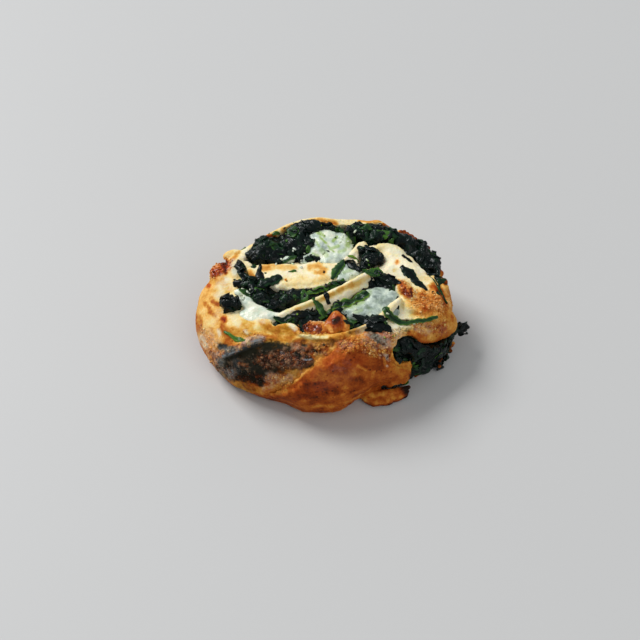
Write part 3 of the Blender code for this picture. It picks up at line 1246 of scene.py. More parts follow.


# How the dough is browned, blushed, oiled and milky; sooty, partly as painted shade; gritty and frosty,
# partly as painted highlights; given a painted sheen; wet and grainy. Each row is a stroke as seen in the
# photograph: its value, its radius, and its path in pixels, as x, y, x, y.
PAINT: dict[str, Strokes] = {
    "toast": (
        # the core slab and the inner strip
        (0.38, 4.2, 264, 268, 271, 267), (0.5, 2, 263, 269, 269, 268),
        (0.3, 3.4, 274, 266, 284, 267, 294, 268), (0.46, 3.6, 250, 272, 253, 277),
        (0.34, 4.4, 311, 267, 318, 266, 324, 270), (0.42, 2.4, 315, 272, 323, 273),
        (0.24, 5, 318, 281, 326, 279), (0.2, 7, 285, 283, 300, 282), (0.7, 1.3, 286, 280),
        (0.24, 2.6, 300, 309, 320, 301, 340, 292, 360, 282, 371, 275),
        (0.38, 2.6, 352, 284, 345, 287, 338, 291), (0.32, 2.4, 333, 293, 322, 299),
        (0.34, 2, 300, 308, 296, 309), (0.34, 2.8, 371, 289), (0.4, 2.2, 368, 303),
        # the front lip and the pocket behind it
        (0.74, 6, 304, 327, 312, 329, 322, 330), (0.08, 1.8, 301, 336, 310, 337, 318, 337),
        (0.46, 2.2, 300, 340, 312, 342, 325, 341, 335, 338), (0.42, 4, 330, 332, 337, 331, 343, 330),
        (0.16, 2.2, 346, 330.5, 352, 328, 359, 326), (0.36, 1.6, 362, 325, 370, 320, 378, 315),
        (0.6, 3.2, 296, 342, 312, 344, 330, 342, 345, 338, 355, 334),
        (0.44, 5, 276, 331, 286, 329, 293, 334), (0.46, 2.4, 284, 325, 276, 327),
        # the left of the crust, above the dark patch
        (0.46, 5, 264, 321, 267, 325), (0.52, 4, 268, 328, 276, 330), (0.3, 2.6, 264, 320, 267, 322),
        (0.38, 4.6, 243, 323, 250, 325), (0.46, 6, 232, 333, 242, 333), (0.36, 6, 250, 333, 262, 333),
        (0.52, 4, 222, 326, 226, 334, 230, 341), (0.6, 4, 224, 319), (0.76, 2.4, 223, 319, 225, 320),
        (0.2, 4, 231, 317, 237, 322), (0.56, 3.2, 226, 343, 236, 345), (0.52, 2.4, 240, 346, 245, 342),
        # the left wall and the blistered spot on it
        (0.62, 5.4, 215, 273, 221, 268, 227, 265), (0.84, 2.4, 222, 263, 226, 264),
        (0.8, 2.2, 224, 268, 226, 273), (0.72, 2, 213, 276, 218, 273), (0.46, 1.4, 216, 268, 219, 265),
        (0.42, 3.4, 213, 282, 222, 279), (0.64, 2.4, 209, 286), (0.44, 2.2, 232, 260, 236, 256),
        (0.46, 2.4, 236, 254, 239, 252), (0.32, 3.4, 228, 250, 231, 253), (0.34, 4.4, 225, 285, 228, 290),
        (0.36, 3, 207, 296, 213, 299), (0.58, 2.8, 213, 302, 218, 304), (0.52, 2.6, 206, 304, 211, 311),
        (0.58, 2.6, 210, 312, 214, 315), (0.54, 4, 199, 318, 199, 329), (0.3, 5, 209, 320, 216, 328),
        (0.46, 5, 203, 334, 208, 346, 216, 358), (0.4, 7, 210, 336, 216, 346),
        # the dark wet patch
        (0.68, 13, 236, 362, 262, 360, 292, 357), (0.66, 10, 230, 366, 246, 376, 272, 370),
        (0.66, 3, 300, 346, 312, 352), (0.52, 5, 270, 379, 284, 378), (0.44, 3.6, 280, 383, 292, 381),
        (0.52, 6, 238, 384, 254, 389), (0.48, 5, 262, 391, 282, 388), (0.42, 4, 212, 358, 222, 376),
        (0.36, 1.8, 297, 370, 300, 372), (0.58, 3, 240, 364, 247, 365),
        (0.58, 6, 300, 348, 314, 348, 326, 349), (0.58, 5, 302, 368, 312, 360),
        (0.5, 4, 250, 339, 270, 338, 290, 339), (0.5, 6, 210, 352, 216, 368), (0.5, 6, 338, 338, 356, 334),
        (0.54, 5, 310, 345, 330, 343),
        # the loose end
        (0.46, 1.5, 290, 384, 300, 377, 310, 367, 317, 360, 324, 354, 333, 350),
        (0.6, 7, 333, 358, 350, 353, 364, 353), (0.68, 7, 346, 364, 366, 362), (0.72, 4, 310, 377, 318, 371),
        (0.74, 5, 334, 368, 345, 371), (0.76, 6, 318, 394, 336, 391), (0.74, 6, 290, 396, 305, 393),
        (0.62, 4, 322, 375, 333, 381), (0.64, 4, 366, 373, 380, 379), (0.58, 5, 268, 392, 284, 390),
        (0.62, 4, 300, 386), (0.78, 3, 352, 380, 362, 378), (0.88, 1.3, 327, 393), (0.88, 1.2, 315, 383),
        (0.88, 1.1, 317, 397), (0.86, 1.1, 326, 381), (0.88, 1.1, 351, 360), (0.48, 1.6, 340, 352, 352, 350),
        (0.52, 2, 374, 372, 372, 379), (0.52, 1.6, 358, 366, 366, 370), (0.5, 1.8, 384, 358, 386, 366),
        (0.68, 3, 386, 372, 384, 382), (0.5, 8, 342, 345, 360, 341, 374, 346), (0.46, 5, 372, 352, 384, 350),
        (0.6, 8, 396, 366, 405, 376), (0.54, 4, 394, 362, 407, 366), (0.74, 5, 376, 388, 388, 382),
        (0.66, 4, 386, 376, 398, 380),
        # the right of the crust
        (0.56, 2.6, 397, 262), (0.28, 2.8, 395, 270), (0.58, 6.2, 402, 285, 408, 294),
        (0.72, 2.4, 405, 289, 409, 295), (0.82, 1.6, 411, 289, 412, 296), (0.46, 2, 398, 284, 401, 289),
        (0.28, 6, 408, 303, 414, 312), (0.36, 12, 424, 302, 440, 302), (0.44, 7, 422, 300, 442, 306),
        (0.46, 6, 420, 311, 446, 312), (0.5, 8, 420, 325, 434, 327), (0.48, 6, 448, 308, 451, 324),
        (0.58, 4.4, 441, 327, 446, 332), (0.54, 5, 412, 333, 424, 339), (0.4, 3, 420, 330, 426, 331),
        (0.6, 3.8, 432, 285, 440, 291), (0.76, 2.2, 438, 291, 443, 297), (0.6, 1.6, 452, 316, 452, 320),
        (0.3, 1.3, 444, 288, 448, 296, 450, 306), (0.5, 3, 290, 381, 301, 374),
        (0.66, 2.6, 412, 338, 421, 344, 434, 344, 446, 341), (0.7, 5, 413, 376, 432, 369, 443, 359),
        (0.66, 4, 447, 354, 453, 346),
        # the far edge
        (0.44, 2.6, 312, 220.5, 322, 220, 336, 223), (0.6, 1.4, 322, 221, 336, 224),
        (0.38, 2.6, 283, 230, 297, 225), (0.5, 1.8, 290, 226.5, 296, 225),
        (0.74, 2.4, 256, 241, 262, 237, 274, 236), (0.46, 3, 360, 220, 380, 221),
        (0.64, 2, 383, 224, 393, 230), (0.46, 2.6, 397, 234, 404, 233),
        (0.82, 4, 402, 231, 416, 235, 428, 246, 435, 254, 440, 264), (0.72, 3, 442, 270, 446, 282),
    ),
    "blush": (
        (0.3, 8, 206, 340, 218, 366), (0.5, 3, 397, 262), (0.9, 6, 215, 273, 221, 268, 227, 265),
        (0.8, 3.4, 224, 319), (0.7, 2.6, 209, 286), (0.5, 5, 404, 287, 408, 294),
        (0.5, 4, 433, 286, 440, 292), (0.5, 6, 304, 326, 320, 326), (0.4, 9, 330, 362, 360, 360),
        (0.3, 9, 330, 385, 300, 392), (0.38, 12, 424, 301, 440, 303), (0.2, 10, 342, 346, 372, 348),
    ),
    "oil": (
        (0.8, 1.6, 286, 311, 313, 296, 340, 284, 362, 274),
        (0.6, 2.8, 300, 307, 320, 299, 345, 289, 358, 282), (0.5, 5, 368, 287, 372, 300),
        (0.8, 3.2, 296, 341, 312, 343, 330, 341, 345, 337), (0.9, 5, 276, 331, 286, 329, 294, 334),
        (0.4, 5, 266, 328), (0.8, 4.4, 244, 323, 250, 326), (0.7, 7, 234, 335, 246, 334, 258, 333),
        (0.5, 4.4, 214, 280, 219, 280), (0.7, 3, 216, 291), (0.6, 5, 225, 286, 228, 291),
        (1, 5, 266, 330, 280, 331, 292, 334), (0.9, 7, 240, 385, 254, 389), (0.8, 6, 262, 346, 284, 341),
        (0.6, 9, 240, 366, 262, 366), (0.5, 7, 300, 336, 334, 338), (0.4, 6, 345, 333, 356, 331),
        (0.3, 8, 398, 368, 404, 374), (0.5, 2.8, 395, 270), (0.5, 4, 380, 246, 392, 246, 400, 250),
        (0.9, 2.4, 394, 322, 402, 323), (0.6, 5, 404, 304, 410, 316),
    ),
    "milk": (
        (0.7, 2.6, 296, 271), (0.8, 5, 365, 288, 372, 296), (0.8, 2.6, 291, 325, 295, 328),
        (0.9, 4.4, 252, 311, 258, 315, 262, 318), (0.4, 4, 232, 316, 238, 323), (0.6, 3, 201, 338, 206, 346),
        (1, 1.8, 245, 331, 247, 333), (0.6, 2, 218, 330, 220, 336), (0.4, 5, 228, 306, 236, 312),
        (0.5, 8, 225, 285, 223, 295), (1, 4.4, 235, 264, 235, 272), (0.8, 3.4, 244, 246, 247, 256),
        (0.5, 3, 233, 246, 240, 244), (0.8, 3, 222, 277, 227, 279), (0.8, 5, 391, 248, 398, 253),
        (0.7, 5, 393, 268, 403, 275), (0.9, 4.4, 392, 326, 400, 325), (0.4, 5, 403, 306, 407, 312),
    ),
    "soot_and_shade": (
        # dark stain and char; the strokes under the front lip and below the long leaf on the right are
        # painted shade
        (1, 1.2, 324, 272), (0.9, 1, 287, 281), (1, 1.5, 322, 341, 328, 341.5), (0.5, 2, 313, 342, 340, 340),
        (0.3, 5, 212, 352, 215, 368, 223, 378), (0.7, 1, 211, 363),
        (0.62, 13, 232, 361, 250, 361, 270, 360, 288, 358, 300, 358),
        (0.66, 10, 234, 366, 250, 372, 262, 371), (0.82, 8, 228, 361, 240, 357, 251, 353, 258, 350),
        (0.86, 7, 236, 369, 250, 371, 258, 370), (0.8, 6, 222, 366, 229, 368), (0.76, 8, 262, 347, 276, 347),
        (0.72, 6, 284, 348, 292, 350), (0.78, 6, 302, 354, 308, 364), (0.52, 9, 272, 361, 292, 360),
        (0.66, 6, 270, 369, 281, 371, 292, 371), (0.7, 6, 254, 377, 261, 383), (0.66, 5, 234, 378, 247, 379),
        (0.72, 5, 221, 347, 232, 349), (0.6, 5, 222, 372, 230, 376), (0.25, 6, 272, 380, 290, 380),
        (0.25, 3, 298, 371), (0.36, 5, 240, 386, 252, 389), (0.5, 2.4, 240, 364, 247, 365),
        (0.4, 4, 296, 348, 306, 350), (0.56, 7, 300, 352, 310, 350, 322, 348), (0.58, 5, 302, 367, 310, 361),
        (0.44, 6, 296, 343, 312, 344, 330, 343), (0.3, 4, 266, 331, 278, 333, 290, 334),
        (0.84, 1.5, 303, 345, 306, 346), (0.86, 1.6, 314, 350, 317, 352), (0.8, 1.4, 324, 345),
        (0.85, 2, 296, 353, 300, 356), (0.4, 4, 288, 373, 296, 372), (0.45, 5, 400, 330, 412, 328),
        (0.7, 3, 403, 322, 413, 321), (0.5, 5, 413, 376, 432, 369, 444, 358, 452, 348),
        (0.4, 4, 350, 331, 366, 328), (0.36, 6, 366, 342, 384, 346), (0.5, 5, 370, 334, 384, 341),
        (0.66, 3, 374, 337, 382, 343), (1, 1.4, 433, 292), (0.9, 1.3, 445, 300, 447, 303),
    ),
    "grit_and_glint": (
        # paler granules, partly a painted highlight on their crowns
        (1.2, 10, 268, 360, 282, 361, 298, 363), (1.3, 6, 288, 348, 304, 350), (0.5, 8, 232, 368, 252, 364),
        (0.7, 7, 304, 350, 324, 348), (0.6, 5, 303, 366, 312, 360), (0.8, 4, 270, 377, 290, 379),
        (0.4, 7, 340, 346, 356, 341, 372, 346), (0.5, 5, 385, 347, 393, 343), (0.7, 5, 366, 350, 384, 354),
        (0.4, 8, 420, 301, 436, 305), (1, 2, 297, 371, 300, 372),
    ),
    "frost_and_glint": (
        # flour dust; the strokes along the ridge and at the right of the loose end are painted glints
        (0.6, 8, 206, 333, 213, 345), (0.4, 4, 219, 312, 213, 322), (0.6, 6, 211, 352, 218, 370),
        (0.7, 5.4, 270, 378, 278, 379), (0.5, 4, 282, 380, 290, 378), (0.4, 3, 264, 388, 274, 386),
        (0.3, 3, 297, 347, 304, 349), (0.9, 3.6, 246, 341, 262, 337.5), (0.6, 3, 224, 351, 238, 348),
        (0.5, 4, 216, 352, 221, 360), (0.5, 5, 222, 371, 231, 376), (0.6, 4, 360, 332, 368, 337),
        (0.4, 4, 342, 345, 350, 345), (1.1, 5, 390, 333, 397, 330, 399, 338), (0.8, 4, 384, 345, 394, 345),
        (0.6, 6, 372, 334, 386, 338), (0.4, 5, 366, 340, 378, 344), (1.2, 1.6, 380, 354, 386, 355, 388, 360),
        (1.2, 1.1, 387, 366), (0.5, 5, 417, 327, 427, 330),
    ),
    "film_sheen": (
        # a painted bluish reflection along the wet ridge, and painted glints
        (0.2, 2.4, 223, 355, 231, 352.5, 240, 348, 250, 342.5, 260, 340), (0.14, 4, 222, 349, 229, 349),
        (0.3, 3, 244, 343, 254, 339, 262, 339), (0.2, 3, 216, 354, 220, 362),
        (0.9, 0.9, 251, 342, 260, 339.5), (0.7, 0.8, 229, 354, 238, 351), (0.8, 1, 222, 357, 225, 355),
        (0.6, 1.2, 232, 370, 233, 374), (1, 0.8, 304, 359.5, 311, 359.5), (0.2, 2.4, 225, 371, 231, 375),
        (0.3, 1.4, 282, 353, 284, 354), (0.08, 4, 235, 362, 237, 369),
    ),
    "wet": (
        (0.9, 8, 304, 327, 320, 329), (1, 2.2, 224, 356, 240, 350, 262, 342), (0.2, 10, 240, 366, 262, 362),
        (0.7, 8, 287, 361, 304, 360), (0.9, 1.6, 231, 368, 234, 376), (0.4, 8, 374, 336, 396, 334),
        (0.35, 12, 320, 380, 345, 372), (0.5, 8, 425, 325, 442, 328), (0.5, 6, 402, 285, 408, 294),
        (0.6, 6, 215, 273, 227, 265),
    ),
    "grain": (
        (1, 8, 304, 327, 320, 329), (1, 7, 214, 272, 221, 268, 228, 265),
        (1, 10, 264, 360, 280, 360, 302, 357), (0.8, 8, 230, 370, 262, 381, 284, 380),
        (0.9, 7, 304, 352, 324, 349), (0.6, 6, 210, 348, 216, 366), (0.4, 6, 236, 358, 250, 358),
        (0.7, 5, 222, 353, 240, 347, 262, 340), (1, 8, 345, 345, 365, 345, 384, 352),
        (0.9, 6, 390, 336, 400, 332), (0.8, 6, 402, 285, 408, 294), (0.9, 12, 422, 301, 440, 304),
        (0.6, 9, 418, 325, 440, 326), (0.4, 6, 205, 330, 214, 345), (0.6, 5, 245, 333, 258, 337),
    ),
}
KNOB_TOAST: Strokes = (
    (0.72, 6.5, 337, 321), (0.9, 3.4, 335, 321, 338, 319), (0.64, 3, 333, 315),
    (0.38, 2, 328, 326, 332, 331), (0.46, 1.6, 344, 317, 346, 324), (0.42, 1.5, 330, 312, 334, 310),
)
GRAIN_SIZE = 2.3


def paint(obj: Piece, toast: Array, strokes: dict[str, Strokes] = PAINT) -> None:
    """Store each layer of a crust piece's paint on its points. Grain tops get a paler, cleaner painted
    highlight.

    Args:
        obj: The piece.
        toast: How brown each point is before the strokes.
        strokes: The strokes of each layer.
    """
    points = plan_points(obj)
    canvas, bare = Canvas(points, point_normals(obj)), np.zeros(len(points))
    layers = {name: canvas.lay(strokes.get(name, ()), toast if name == "toast" else bare) for name in PAINT}
    # the crowns of grains get a painted highlight: paler, with less soot and more grit
    crown = cells(points, GRAIN_SIZE, 3)
    grainy = np.clip(layers["grain"], 0, 1)
    clean = 1 - 0.75 * np.clip(layers["soot_and_shade"], 0, 1)
    layers["toast"] += grainy * (0.1 - 0.26 * crown * clean)
    layers["soot_and_shade"] *= 1.06 - 0.44 * grainy * crown
    layers["grit_and_glint"] *= 0.1 + 1.7 * crown
    for name, values in layers.items():
        put_values(obj, name, values)


def bake_relief(obj: Piece, swell: float = 0.55) -> None:
    """Push a crust's surface in and out: soft swells, creases where it baked dry, and small bubbles.

    Args:
        obj: The piece.
        swell: How far its broad swells reach, in millimetres.
    """
    points, normals = plan_points(obj), point_normals(obj)
    grain = Canvas(points, normals).lay(PAINT["grain"], np.zeros(len(points)))
    broad = swell * fractal(points, 13, 2)
    crease = -0.3 * ridges(points, 9, 3, 7)
    bubble = (0.12 + 0.7 * grain) * cells(points, GRAIN_SIZE, 3)
    fine = (0.1 + 0.16 * grain) * fractal(points, 1.6, 2, 11)
    free = smooth_step(0.2, 3, points[:, 2])
    moved = points + normals * ((broad + crease + bubble + fine) * free)[:, None]
    moved[:, 2] = np.maximum(moved[:, 2], 0)
    put_points(obj, moved)


@dataclass
class CrustPiece:
    """A piece of baked dough. Each kind of piece has its own sculpt and brown."""

    nodes: tuple[str, ...] = ()
    slot: Slot = Slot.CRUST
    swell: float = 0.55

    def sculpt(self) -> Piece:
        """Make the piece's mesh."""
        raise NotImplementedError

    def brown(self, points: Array) -> Array:
        """How brown each point is before the strokes."""
        raise NotImplementedError

    def strokes(self) -> dict[str, Strokes]:
        """The strokes of each layer of its paint."""
        return PAINT

    def roughen(self, obj: Piece) -> None:
        """Give the surface its relief."""
        bake_relief(obj, self.swell)

    def build(self, pantry: Pantry) -> Piece:
        """Sculpt, roughen, paint and dress the piece.

        Args:
            pantry: The finishes.

        Returns:
            The dressed piece.
        """
        obj = self.sculpt()
        self.roughen(obj)
        slim(obj)
        paint(obj, self.brown(plan_points(obj)), self.strokes())
        dress(obj, pantry.crust, self.nodes)
        return obj


@dataclass
class DoughRoll(CrustPiece):
    """The rolled dough: the bun, its carved winding and everything that stands on its top."""

    nodes: tuple[str, ...] = ("dough_roll",)
    step: float = 0.5
    low: Triple = (-62, -50, -1.8)
    high: Triple = (64, 51, 37)
    bun: Bun = field(default_factory=Bun)
    core: Slab = Slab((
        (-34.8, 13.4), (-31, 15.4), (-26, 16.2), (-12, 16.2), (3, 16), (7.4, 16.4), (8.2, 13), (5.6, 10.6),
        (4, 7.4), (-1, 5), (-6.4, 3.8), (-14, 2.8), (-20.6, 1.8), (-24.6, 4), (-29.6, 6.4), (-33.6, 9.6),
    ), 33.2, 9)
    strip: Bead = Bead((
        (-19, -14.4, 31.8, 1.2), (-13.4, -12.2, 32.8, 1.4), (-6.4, -8.7, 33.4, 1.4), (0.4, -4.8, 33.7, 1.4),
        (6.4, -1.2, 33.7, 1.4), (12.2, 2.8, 33.8, 1.5), (18, 7, 33.4, 1.6), (21, 9.4, 32.6, 1.3),
    ), 1.3)
    flank: Bead = Bead((
        (-12, -12, 30.8, 1.5), (-2, -7.2, 31, 2.3), (6, -3.2, 31.2, 2.7), (13, 1.2, 31.2, 2.6),
        (18.6, 4.8, 30.4, 2),
    ))
    front_lip: Bead = Bead((
        (-19, -20, 31, 1.1), (-13.4, -20.6, 31.6, 1.3), (-9.6, -24.8, 31.8, 1.1), (-2, -27.2, 32, 1.1),
        (4, -27, 32.1, 1.1), (10.9, -24.5, 32.1, 1.1), (16.8, -21.3, 32, 1.1), (23.3, -16.4, 32, 1.3),
        (28.6, -11.6, 32, 1.8), (31.6, -8, 32, 1.6), (34.2, -4.8, 31.8, 1.2),
    ), 1.2)
    hook: Slab = Slab((
        (9.2, 16.6), (11.4, 18.4), (14.2, 20.6), (16.2, 23.4), (19.6, 25.4), (20.8, 27.8), (19.4, 30),
        (16.6, 29.2), (14.4, 26), (11.8, 22), (9, 19),
    ), 33.3, 3.4, 1.5, 0.35, 14)
    right_top: Slab = Slab((
        (23.4, 25.4), (25.6, 28.4), (30, 29.6), (34.8, 28.8), (37.4, 25.6), (40.6, 20.2), (45.8, 15.4),
        (49.8, 11.4), (51.4, 7), (53.4, 1), (53, -6), (46, -10), (38, -10), (34.4, -5), (32.8, 2),
        (33.6, 6.4), (30.4, 9.6), (27, 12.4), (29.8, 15.6), (30.4, 20), (28.4, 23.8),
    ), 31.7, 9, 2.6, 0.6, 9, (-0.11, 0.04))
    back_rims: tuple[Bead, ...] = (
        Bead(((-27, 34, 30.6, 1.2), (-20, 38.4, 31.2, 1.5), (-11, 42.4, 32, 1.6), (-3, 43.8, 32.4, 1.5),
              (4, 43.4, 32.4, 1.5), (9.5, 42, 31, 1.2))),
        Bead(((19, 41.8, 31.4, 1.1), (24, 42, 32.2, 1.6), (27, 41.4, 32.6, 1.7), (31, 39.8, 31.2, 1.2))),
    )
    swells: tuple[Lump, ...] = lump_rows(
        (38, 14, 24, 9, 13, 8.8, 35), (46.5, -5, 19.6, 10, 12, 10.4, 10),
        (-42.4, 25.8, 27.8, 4.4, 2.8, 2.8, 18), (-40.2, 15.2, 28.8, 2.8, 5.4, 2.6, 2),
        (-39.6, 20.6, 28.6, 3, 3.2, 2.4), (-47, 15, 26.6, 4.8, 6.2, 3.6, 12),
        (36.9, 1.6, 30.9, 5.6, 3.2, 2.2, -62), (-36, -18, 26.6, 11, 6, 5, -28),
        (-27, -16.4, 29, 9, 4.4, 2.8, -20),
    )
    lobe: Lump = Lump((52.4, -5.6, 17), (8.9, 7.2, 8.6), -14)
    pocket_floor: tuple[Lump, ...] = lump_rows(
        (-2.6, -20.4, 29.8, 6, 4.8, 2.4), (5, -6.6, 28.8, 7, 3.2, 2.6, 28), (-14, -17, 28.4, 6, 3, 2.4, -8),
    )
    film_ridge: Bead = Bead((
        (-45.2, -27.6, 20.6, 0.9), (-41.4, -28.6, 24.2, 1.6), (-38.4, -28.4, 26.6, 1.8),
        (-34.6, -27.4, 28.8, 1.6), (-30.6, -26.2, 30.4, 1.5), (-26.6, -25.4, 30.8, 1.1),
        (-22.4, -26.2, 30.6, 0.7),
    ))
    pits: tuple[Lump, ...] = lump_rows(
        (12.6, 10.6, 32.6, 5.4, 3.6, 3, 25), (22.5, 19.6, 32.6, 6.6, 5.8, 4.4, 15),
        (-41, -5.8, 32.6, 5, 4.6, 4.4), (3, 19.5, 33, 5, 3, 3), (14, 14.6, 33, 4.4, 2.2, 2.4, -42),
    )
    openings: tuple[Lump, ...] = lump_rows(
        (36.4, -25.6, 22.6, 6.8, 5.6, 6.6, 20), (45, -20.6, 8.6, 9, 5.6, 8.6, 35),
        (57, -12, 1.8, 4, 5, 5, -20),
    )
    hem: RaggedEdge = RaggedEdge((
        (42, -24, 1.8), (46.4, -22.4, 2.2), (50.4, -20, 2.8), (54.2, -16.8, 3.6), (57.4, -13, 5),
        (59.8, -9.4, 7)), 34, (0.5, 1), 0.8, 9)
    fringe: RaggedEdge = RaggedEdge((
        (31, 40, 30.4), (37, 38, 29.4), (42.6, 34.2, 28.8), (47.8, 29, 28.2), (51.6, 21.8, 27.4),
        (53.6, 14.4, 26.6), (54.8, 7.6, 26)), 46, (0.8, 1.7), 0.9, 4)

    def sculpt(self) -> Piece:
        """Make the dough's mesh.

        Returns:
            The undressed piece.
        """
        clay = Clay(self.low, self.high, self.step)
        clay.add(self.bun, 0).even_out()
        for swell in self.swells:
            clay.add(swell, 2)
        clay.carve(Band(SPIRAL_FILLING, depth=10, grow=0.2, open_top=True), 1.4)
        clay.carve(Band(SPIRAL_FILLING[SIDE_FROM:], depth=28, grow=0.4, seed=8), 1)
        clay.carve(Band(FRONT_FILLING, depth=7, grow=0.2, open_top=True, seed=6), 1.4)
        for stations in (SPIRAL_FILLING, FRONT_FILLING):
            under = tuple((px, py, half, UNDER_DEPTH) for px, py, half, _ in stations)
            clay.carve(Band(under, depth=UNDER_DEPTH + 3, ragged=0.5), 0.6)
        clay.add(self.core, 1)
        for pit in self.pits:
            clay.carve(pit, 1)
        for floor in self.pocket_floor:
            clay.add(floor, 1.4)
        for piece in (self.right_top, self.flank, self.strip, self.front_lip, self.hook, *self.back_rims):
            clay.add(piece, 1)
        for opening in self.openings:
            clay.carve(opening, 0.8)
        clay.add(self.film_ridge, 1.2).add(self.lobe, 1.6)
        for edge, blend in ((self.fringe, 0.5), (self.hem, 0.4)):
            for lump in edge.lumps():
                clay.add(lump, blend)
        return clay.cut_below(0).mesh("dough")

    def brown(self, points: Array) -> Array:
        """How brown each point is before the strokes: pale on top, browner down the wall.

        Args:
            points: The points, in plan millimetres.

        Returns:
            Their toast, from 0 to 1.
        """
        x, y, z = points.T
        angle = np.arctan2(y, x)
        degrees = np.degrees(angle) % 360
        outside = np.hypot(x, y) - read_around(self.bun.lip_radius, angle)
        shoulder = smooth_step(-2, 9, outside)
        low = smooth_step(30, 3, z)
        left = smooth_step(75, 35, np.abs(degrees - 185))
        front = smooth_step(60, 25, np.abs(degrees - 262))
        wall = 0.36 + 0.22 * low - 0.08 * left * (1 - low) + 0.06 * front
        rim = smooth_step(-12, -2, outside) * smooth_step(70, 40, np.abs(degrees - 205))
        base = 0.05 + 0.13 * rim * (1 - shoulder) + shoulder * wall + 0.12 * smooth_step(6, 0.5, z)
        return base + 0.13 * fractal(points * np.array((1, 1, 0.6)), 8, 3, 33)


@dataclass
class LooseEnd(CrustPiece):
    """The strip's loose end, which laps over the front of the wall and up to the lip."""

    nodes: tuple[str, ...] = ("dough_flap",)
    step: float = 0.45
    lap: Lap = field(default_factory=lambda: Lap(Bun()))
    torn: tuple[Lump, ...] = lump_rows(
        (32, -31.6, 11, 6.4, 3.2, 6.6, 34), (35.2, -30, 8.4, 5.2, 3.2, 6.2, 34),
        (28.6, -32.6, 17.6, 3.6, 2.6, 5, 24),
    )

    def sculpt(self) -> Piece:
        """Make the lap's mesh.

        Returns:
            The undressed piece.
        """
        low, high = self.lap.box()
        clay = Clay(low, high, self.step)
        clay.add(self.lap.bun, 0).even_out()
        clay.level = self.lap.distance(clay.places, clay.level).astype(np.float32)
        for lump in self.torn:
            clay.add(lump, 1.6)
        return clay.cut_below(0.15).mesh("lap")

    def brown(self, points: Array) -> Array:
        """How brown each point is before the strokes: paler at its free edge, at its top and at its right.

        Args:
            points: The points, in plan millimetres.

        Returns:
            Their toast, from 0 to 1.
        """
        x, _, z = points.T
        streaks = fractal(points * np.array((0.45, 1, 1.6)), 6, 4, 43)
        free_edge = smooth_step(-2.2, 0, self.lap.reach(points.T))
        high = smooth_step(24, 31, z)
        right = smooth_step(26, 34, x)
        return 0.68 + 0.16 * streaks - 0.12 * free_edge - 0.06 * high - 0.08 * right


@dataclass
class Tongue(CrustPiece):
    """The short tongue of dough under the lap, with its browned edge."""

    nodes: tuple[str, ...] = ("dough_tail",)
    swell: float = 0.3
    step: float = 0.35
    low: Triple = (12, -45, -0.6)
    high: Triple = (43, -29, 9)
    tip: tuple[float, float] = (38.6, -33.8)
    body: Slab = Slab((
        (15.5, -36), (18, -39.6), (22.5, -41.6), (28, -41.2), (33, -39.4), (37.6, -36.4), (39.6, -33.8),
        (38.4, -32.2), (34, -33), (27, -34.4), (20, -34.6),
    ), 4.6, 4.2, 1.8, 0.4, 12)
    flap: Bead = Bead((
        (21, -36.4, 5, 1.4), (27, -37, 5.6, 1.9), (33, -35.8, 5.6, 1.7), (38.4, -33.6, 5.4, 1.1)), 0.7)

    def sculpt(self) -> Piece:
        """Make the tongue's mesh."""
        clay = Clay(self.low, self.high, self.step)
        return clay.add(self.body, 0).add(self.flap, 1.2).cut_below(0.1).mesh("tongue")

    def brown(self, points: Array) -> Array:
        """How brown each point is before the strokes: browner under its rim and at its tip.

        Args:
            points: The points, in plan millimetres.

        Returns:
            Their toast, from 0 to 1.
        """
        rim = smooth_step(-2.2, 0.2, self.body.distance(points.T))
        tip = smooth_step(6, 1.5, np.hypot(points[:, 0] - self.tip[0], points[:, 1] - self.tip[1]))
        under = smooth_step(3.6, 1.6, points[:, 2])
        return 0.55 + 0.24 * rim * under + 0.4 * tip * rim + 0.16 * fractal(points, 4, 3, 8)


@dataclass
class Knob(CrustPiece):
    """The browned knob of dough that leans up from the front lip."""

    nodes: tuple[str, ...] = ("toasted_knob",)
    slot: Slot = Slot.TOASTED
    step: float = 0.3
    low: Triple = (-4, -29, 24)
    high: Triple = (13, -8, 39)
    parts: tuple[Bead, ...] = (
        Bead(((0.2, -22.6, 31, 1.8), (2.2, -19.8, 32.4, 2.1), (4.4, -16.8, 34, 1.9),
              (5.6, -15.8, 34.6, 1.6))),
        Bead(((9.8, -21.4, 31, 2.2), (9.2, -19.2, 32.4, 2.3), (7.6, -17, 33.8, 2.1),
              (5.8, -15.8, 34.6, 1.6))),
        Bead(((4.6, -22.6, 31, 2.6), (5.4, -20, 32.8, 2.9), (5.8, -17.8, 33.8, 2.4))),
    )
    glaze: Strokes = ((0.4, 12, 336, 321),)

    def sculpt(self) -> Piece:
        """Make the knob's mesh.

        Returns:
            The undressed piece.
        """
        clay = Clay(self.low, self.high, self.step)
        for part in self.parts:
            clay.add(part, 1.2)
        return clay.mesh("knob")

    def roughen(self, obj: Piece) -> None:
        """Make the surface lumpy.

        Args:
            obj: The piece.
        """
        points, normals = plan_points(obj), point_normals(obj)
        lumps = 0.45 * fractal(points, 4, 3) - 0.25 * ridges(points, 5, 3, 2)
        put_points(obj, points + normals * lumps[:, None])

    def brown(self, points: Array) -> Array:
        """How brown each point is before the strokes."""
        return 0.58 + 0.14 * fractal(points, 5, 2, 9)

    def strokes(self) -> dict[str, Strokes]:
        """The strokes of each layer of its paint."""
        return {"toast": KNOB_TOAST, "wet": self.glaze, "blush": self.glaze}


